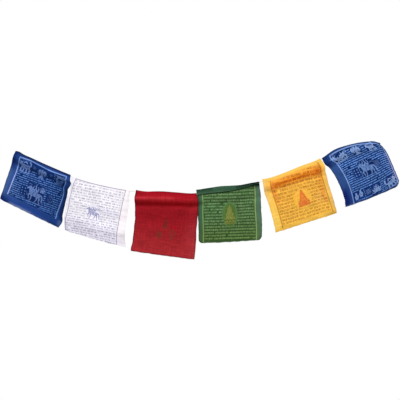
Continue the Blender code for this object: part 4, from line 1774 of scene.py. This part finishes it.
RIGHT_BLUE = Flag(
    name="flag_6_cloth", slot="blue_cotton_right", node="flag_6_blue", cord_from=858.7, cord_to=1021.0,
    cut_wide=166, cut_long=168, bottom_sag=3.0, seed=606,
    sections=table(
        Section, (0.1, 866.0, -35.5, 1033.8, 9.0, -4, 2, -4), (0.2, 877.4, -43.6, 1041.0, -2.6, -3, 3, -4),
        (0.4, 894.6, -68.3, 1051.8, -27.2, 0, 5, -1), (0.6, 908.6, -96.9, 1061.2, -50.4, 2, 5, 1),
        (0.8, 919.2, -127.1, 1070.6, -74.5, 4, 4, 2), (0.9, 921.8, -141.0, 1074.2, -85.0, 5, 3, 0),
        (1.0, 923.0, -155.4, 1070.4, -97.0, 6, 3, -3),
    ),
    hem=table(
        Hem, (0.0, 0.6), (0.05, 0.8), (0.15, 1.6), (0.22, 1.8), (0.4, 0.8), (0.7, 0.3),
        (0.8, 0.5), (0.9, 1.6), (1.0, 2.6),
    ),
    folds=table(
        Fold, (0.0, 0.1, 0.8, 0.12, 18, 3), (0.0, 0.24, 1.0, 0.24, 16, -3),
        (0.02, 0.02, 0.1, 0.4, 14, 3), (0.15, 0.62, 1.0, 0.56, 34, 2),
    ),
    creases=table(
        Fold, (0.01, 0.17, 0.12, 0.13, 6, -1.0), (0.93, 0.02, 0.98, 0.4, 8, 1.0),
    ),
    finish=BlockPrint(
        cloth="#2a4a88", ground="#02235c", ink="#76aaff", frame="#86a6e4", figure="#a4c6ff",
        second="#7ea2e0", dark="#0e3072", ground_strength=0.95, ink_strength=0.98, frame_strength=0.9,
        figure_strength=0.85, second_strength=0.88, wear=0.3,
    ),
    lines=PrintLines(
        left=table(
            Mark, (0.03, 0.115), (0.1, 0.12), (0.2, 0.13), (0.3, 0.133), (0.45, 0.14),
            (0.6, 0.145), (0.75, 0.148), (0.9, 0.153), (1.0, 0.17),
        ),
        right=table(Mark, (0.0, 0.955), (0.1, 0.965), (0.3, 0.97), (0.6, 0.972), (1.0, 0.985)),
        top=table(Mark, (0.1, 0.03), (0.3, 0.022), (0.5, 0.018), (0.8, 0.03), (1.0, 0.02)),
        bottom=table(Mark, (0.0, 0.985), (1.0, 0.985)),
    ),
    rows=PrintRows(
        26.4, 0.157, -0.166, 0.191, -0.02, 0.115, -0.22, dash=16.0, gap=0.06, thickness=0.36, roughness=0.15,
        unevenness=0.2, marks=0.4,
    ),
    figures=(
        Figure(DRAGON, 0.236, 0.13, size=1.2, turn=-8, zone_wide=18, zone_tall=12),
        Figure(BIRD, 0.51, 0.105, size=0.9, turn=-8, zone_wide=13, zone_tall=11),
        Figure(LION, 0.768, 0.085, size=0.8, turn=-16, zone_wide=16, zone_tall=8),
        Figure(HORSE, 0.552, 0.455, size=0.96, turn=-8, ink=Ink.SECOND, zone_wide=21, zone_tall=20),
        Figure(DOT_BLOCK, 0.345, 0.5, size=0.92, turn=-5, zone_wide=8.5, zone_tall=12.5, zone_dark=True),
        Figure(LATTICE_BLOCK, 0.74, 0.41, turn=-16, zone_wide=8.4, zone_tall=9.5, zone_dark=True),
        Figure(VASES, 0.265, 0.875, size=1.06, turn=-6, zone_wide=16, zone_tall=12, zone_dark=True),
        Figure(LATTICE_BLOCK, 0.44, 0.865, size=0.9, turn=-10, zone_wide=9, zone_tall=11, zone_dark=True),
        Figure(LOTUS, 0.592, 0.86, size=1.0, turn=-8, zone_wide=14, zone_tall=14, zone_dark=True),
        Figure(LION, 0.868, 0.83, size=1.08, turn=-26, flip=True, zone_wide=17, zone_tall=17, zone_dark=True),
    ),
    # Tone of the dye, and painted light: painted shade along the top hem, at the top-left corner and on the
    # lower left margin, and a painted highlight along the bottom edge.
    tone_and_painted_light=table(
        ToneAndPaintedLight, (0.06, 0.25, 0.07, 0.6, 20, "#30508a", 0.6),
        (0.03, 0.02, 0.05, 0.13, 20, "#0f2c68", 0.9, 0.92),
        (0.03, 0.76, 0.05, 1.0, 28, "#0a226a", 1.0, 0.9),
        (0.0, 1.0, 1.0, 1.0, 6, "#5a6c9c", 0.6, 1.1), (0.99, 0.05, 1.0, 0.95, 7, "#365294", 0.5),
        (0.94, 0.25, 0.96, 0.75, 16, "#44568c", 0.4), (0.0, -0.02, 0.6, -0.02, 9, "#22386a", 0.8, 0.9),
        (0.6, -0.02, 1.0, -0.02, 7, "#3a4c74", 0.6), (0.735, 0.4, 0.745, 0.42, 18, "#1c3c7c", 0.5, 0.85),
    ),
    edge_shade=0.45,
)

FLAGS = (LEFT_BLUE, WHITE, RED, GREEN, YELLOW, RIGHT_BLUE)
CORNER_TAIL = ((0.0, 0.985, -8.6, -1.4),)


def main() -> None:
    """Build the studio, the cord and the flags in order."""
    logging.basicConfig(level=logging.INFO, format="%(message)s")
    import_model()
    Studio().build()
    cord = HeaderCord().build()
    for flag in FLAGS:
        flag.build(cord, CORNER_TAIL if flag is RIGHT_BLUE else ())


if __name__ == "__main__":
    main()
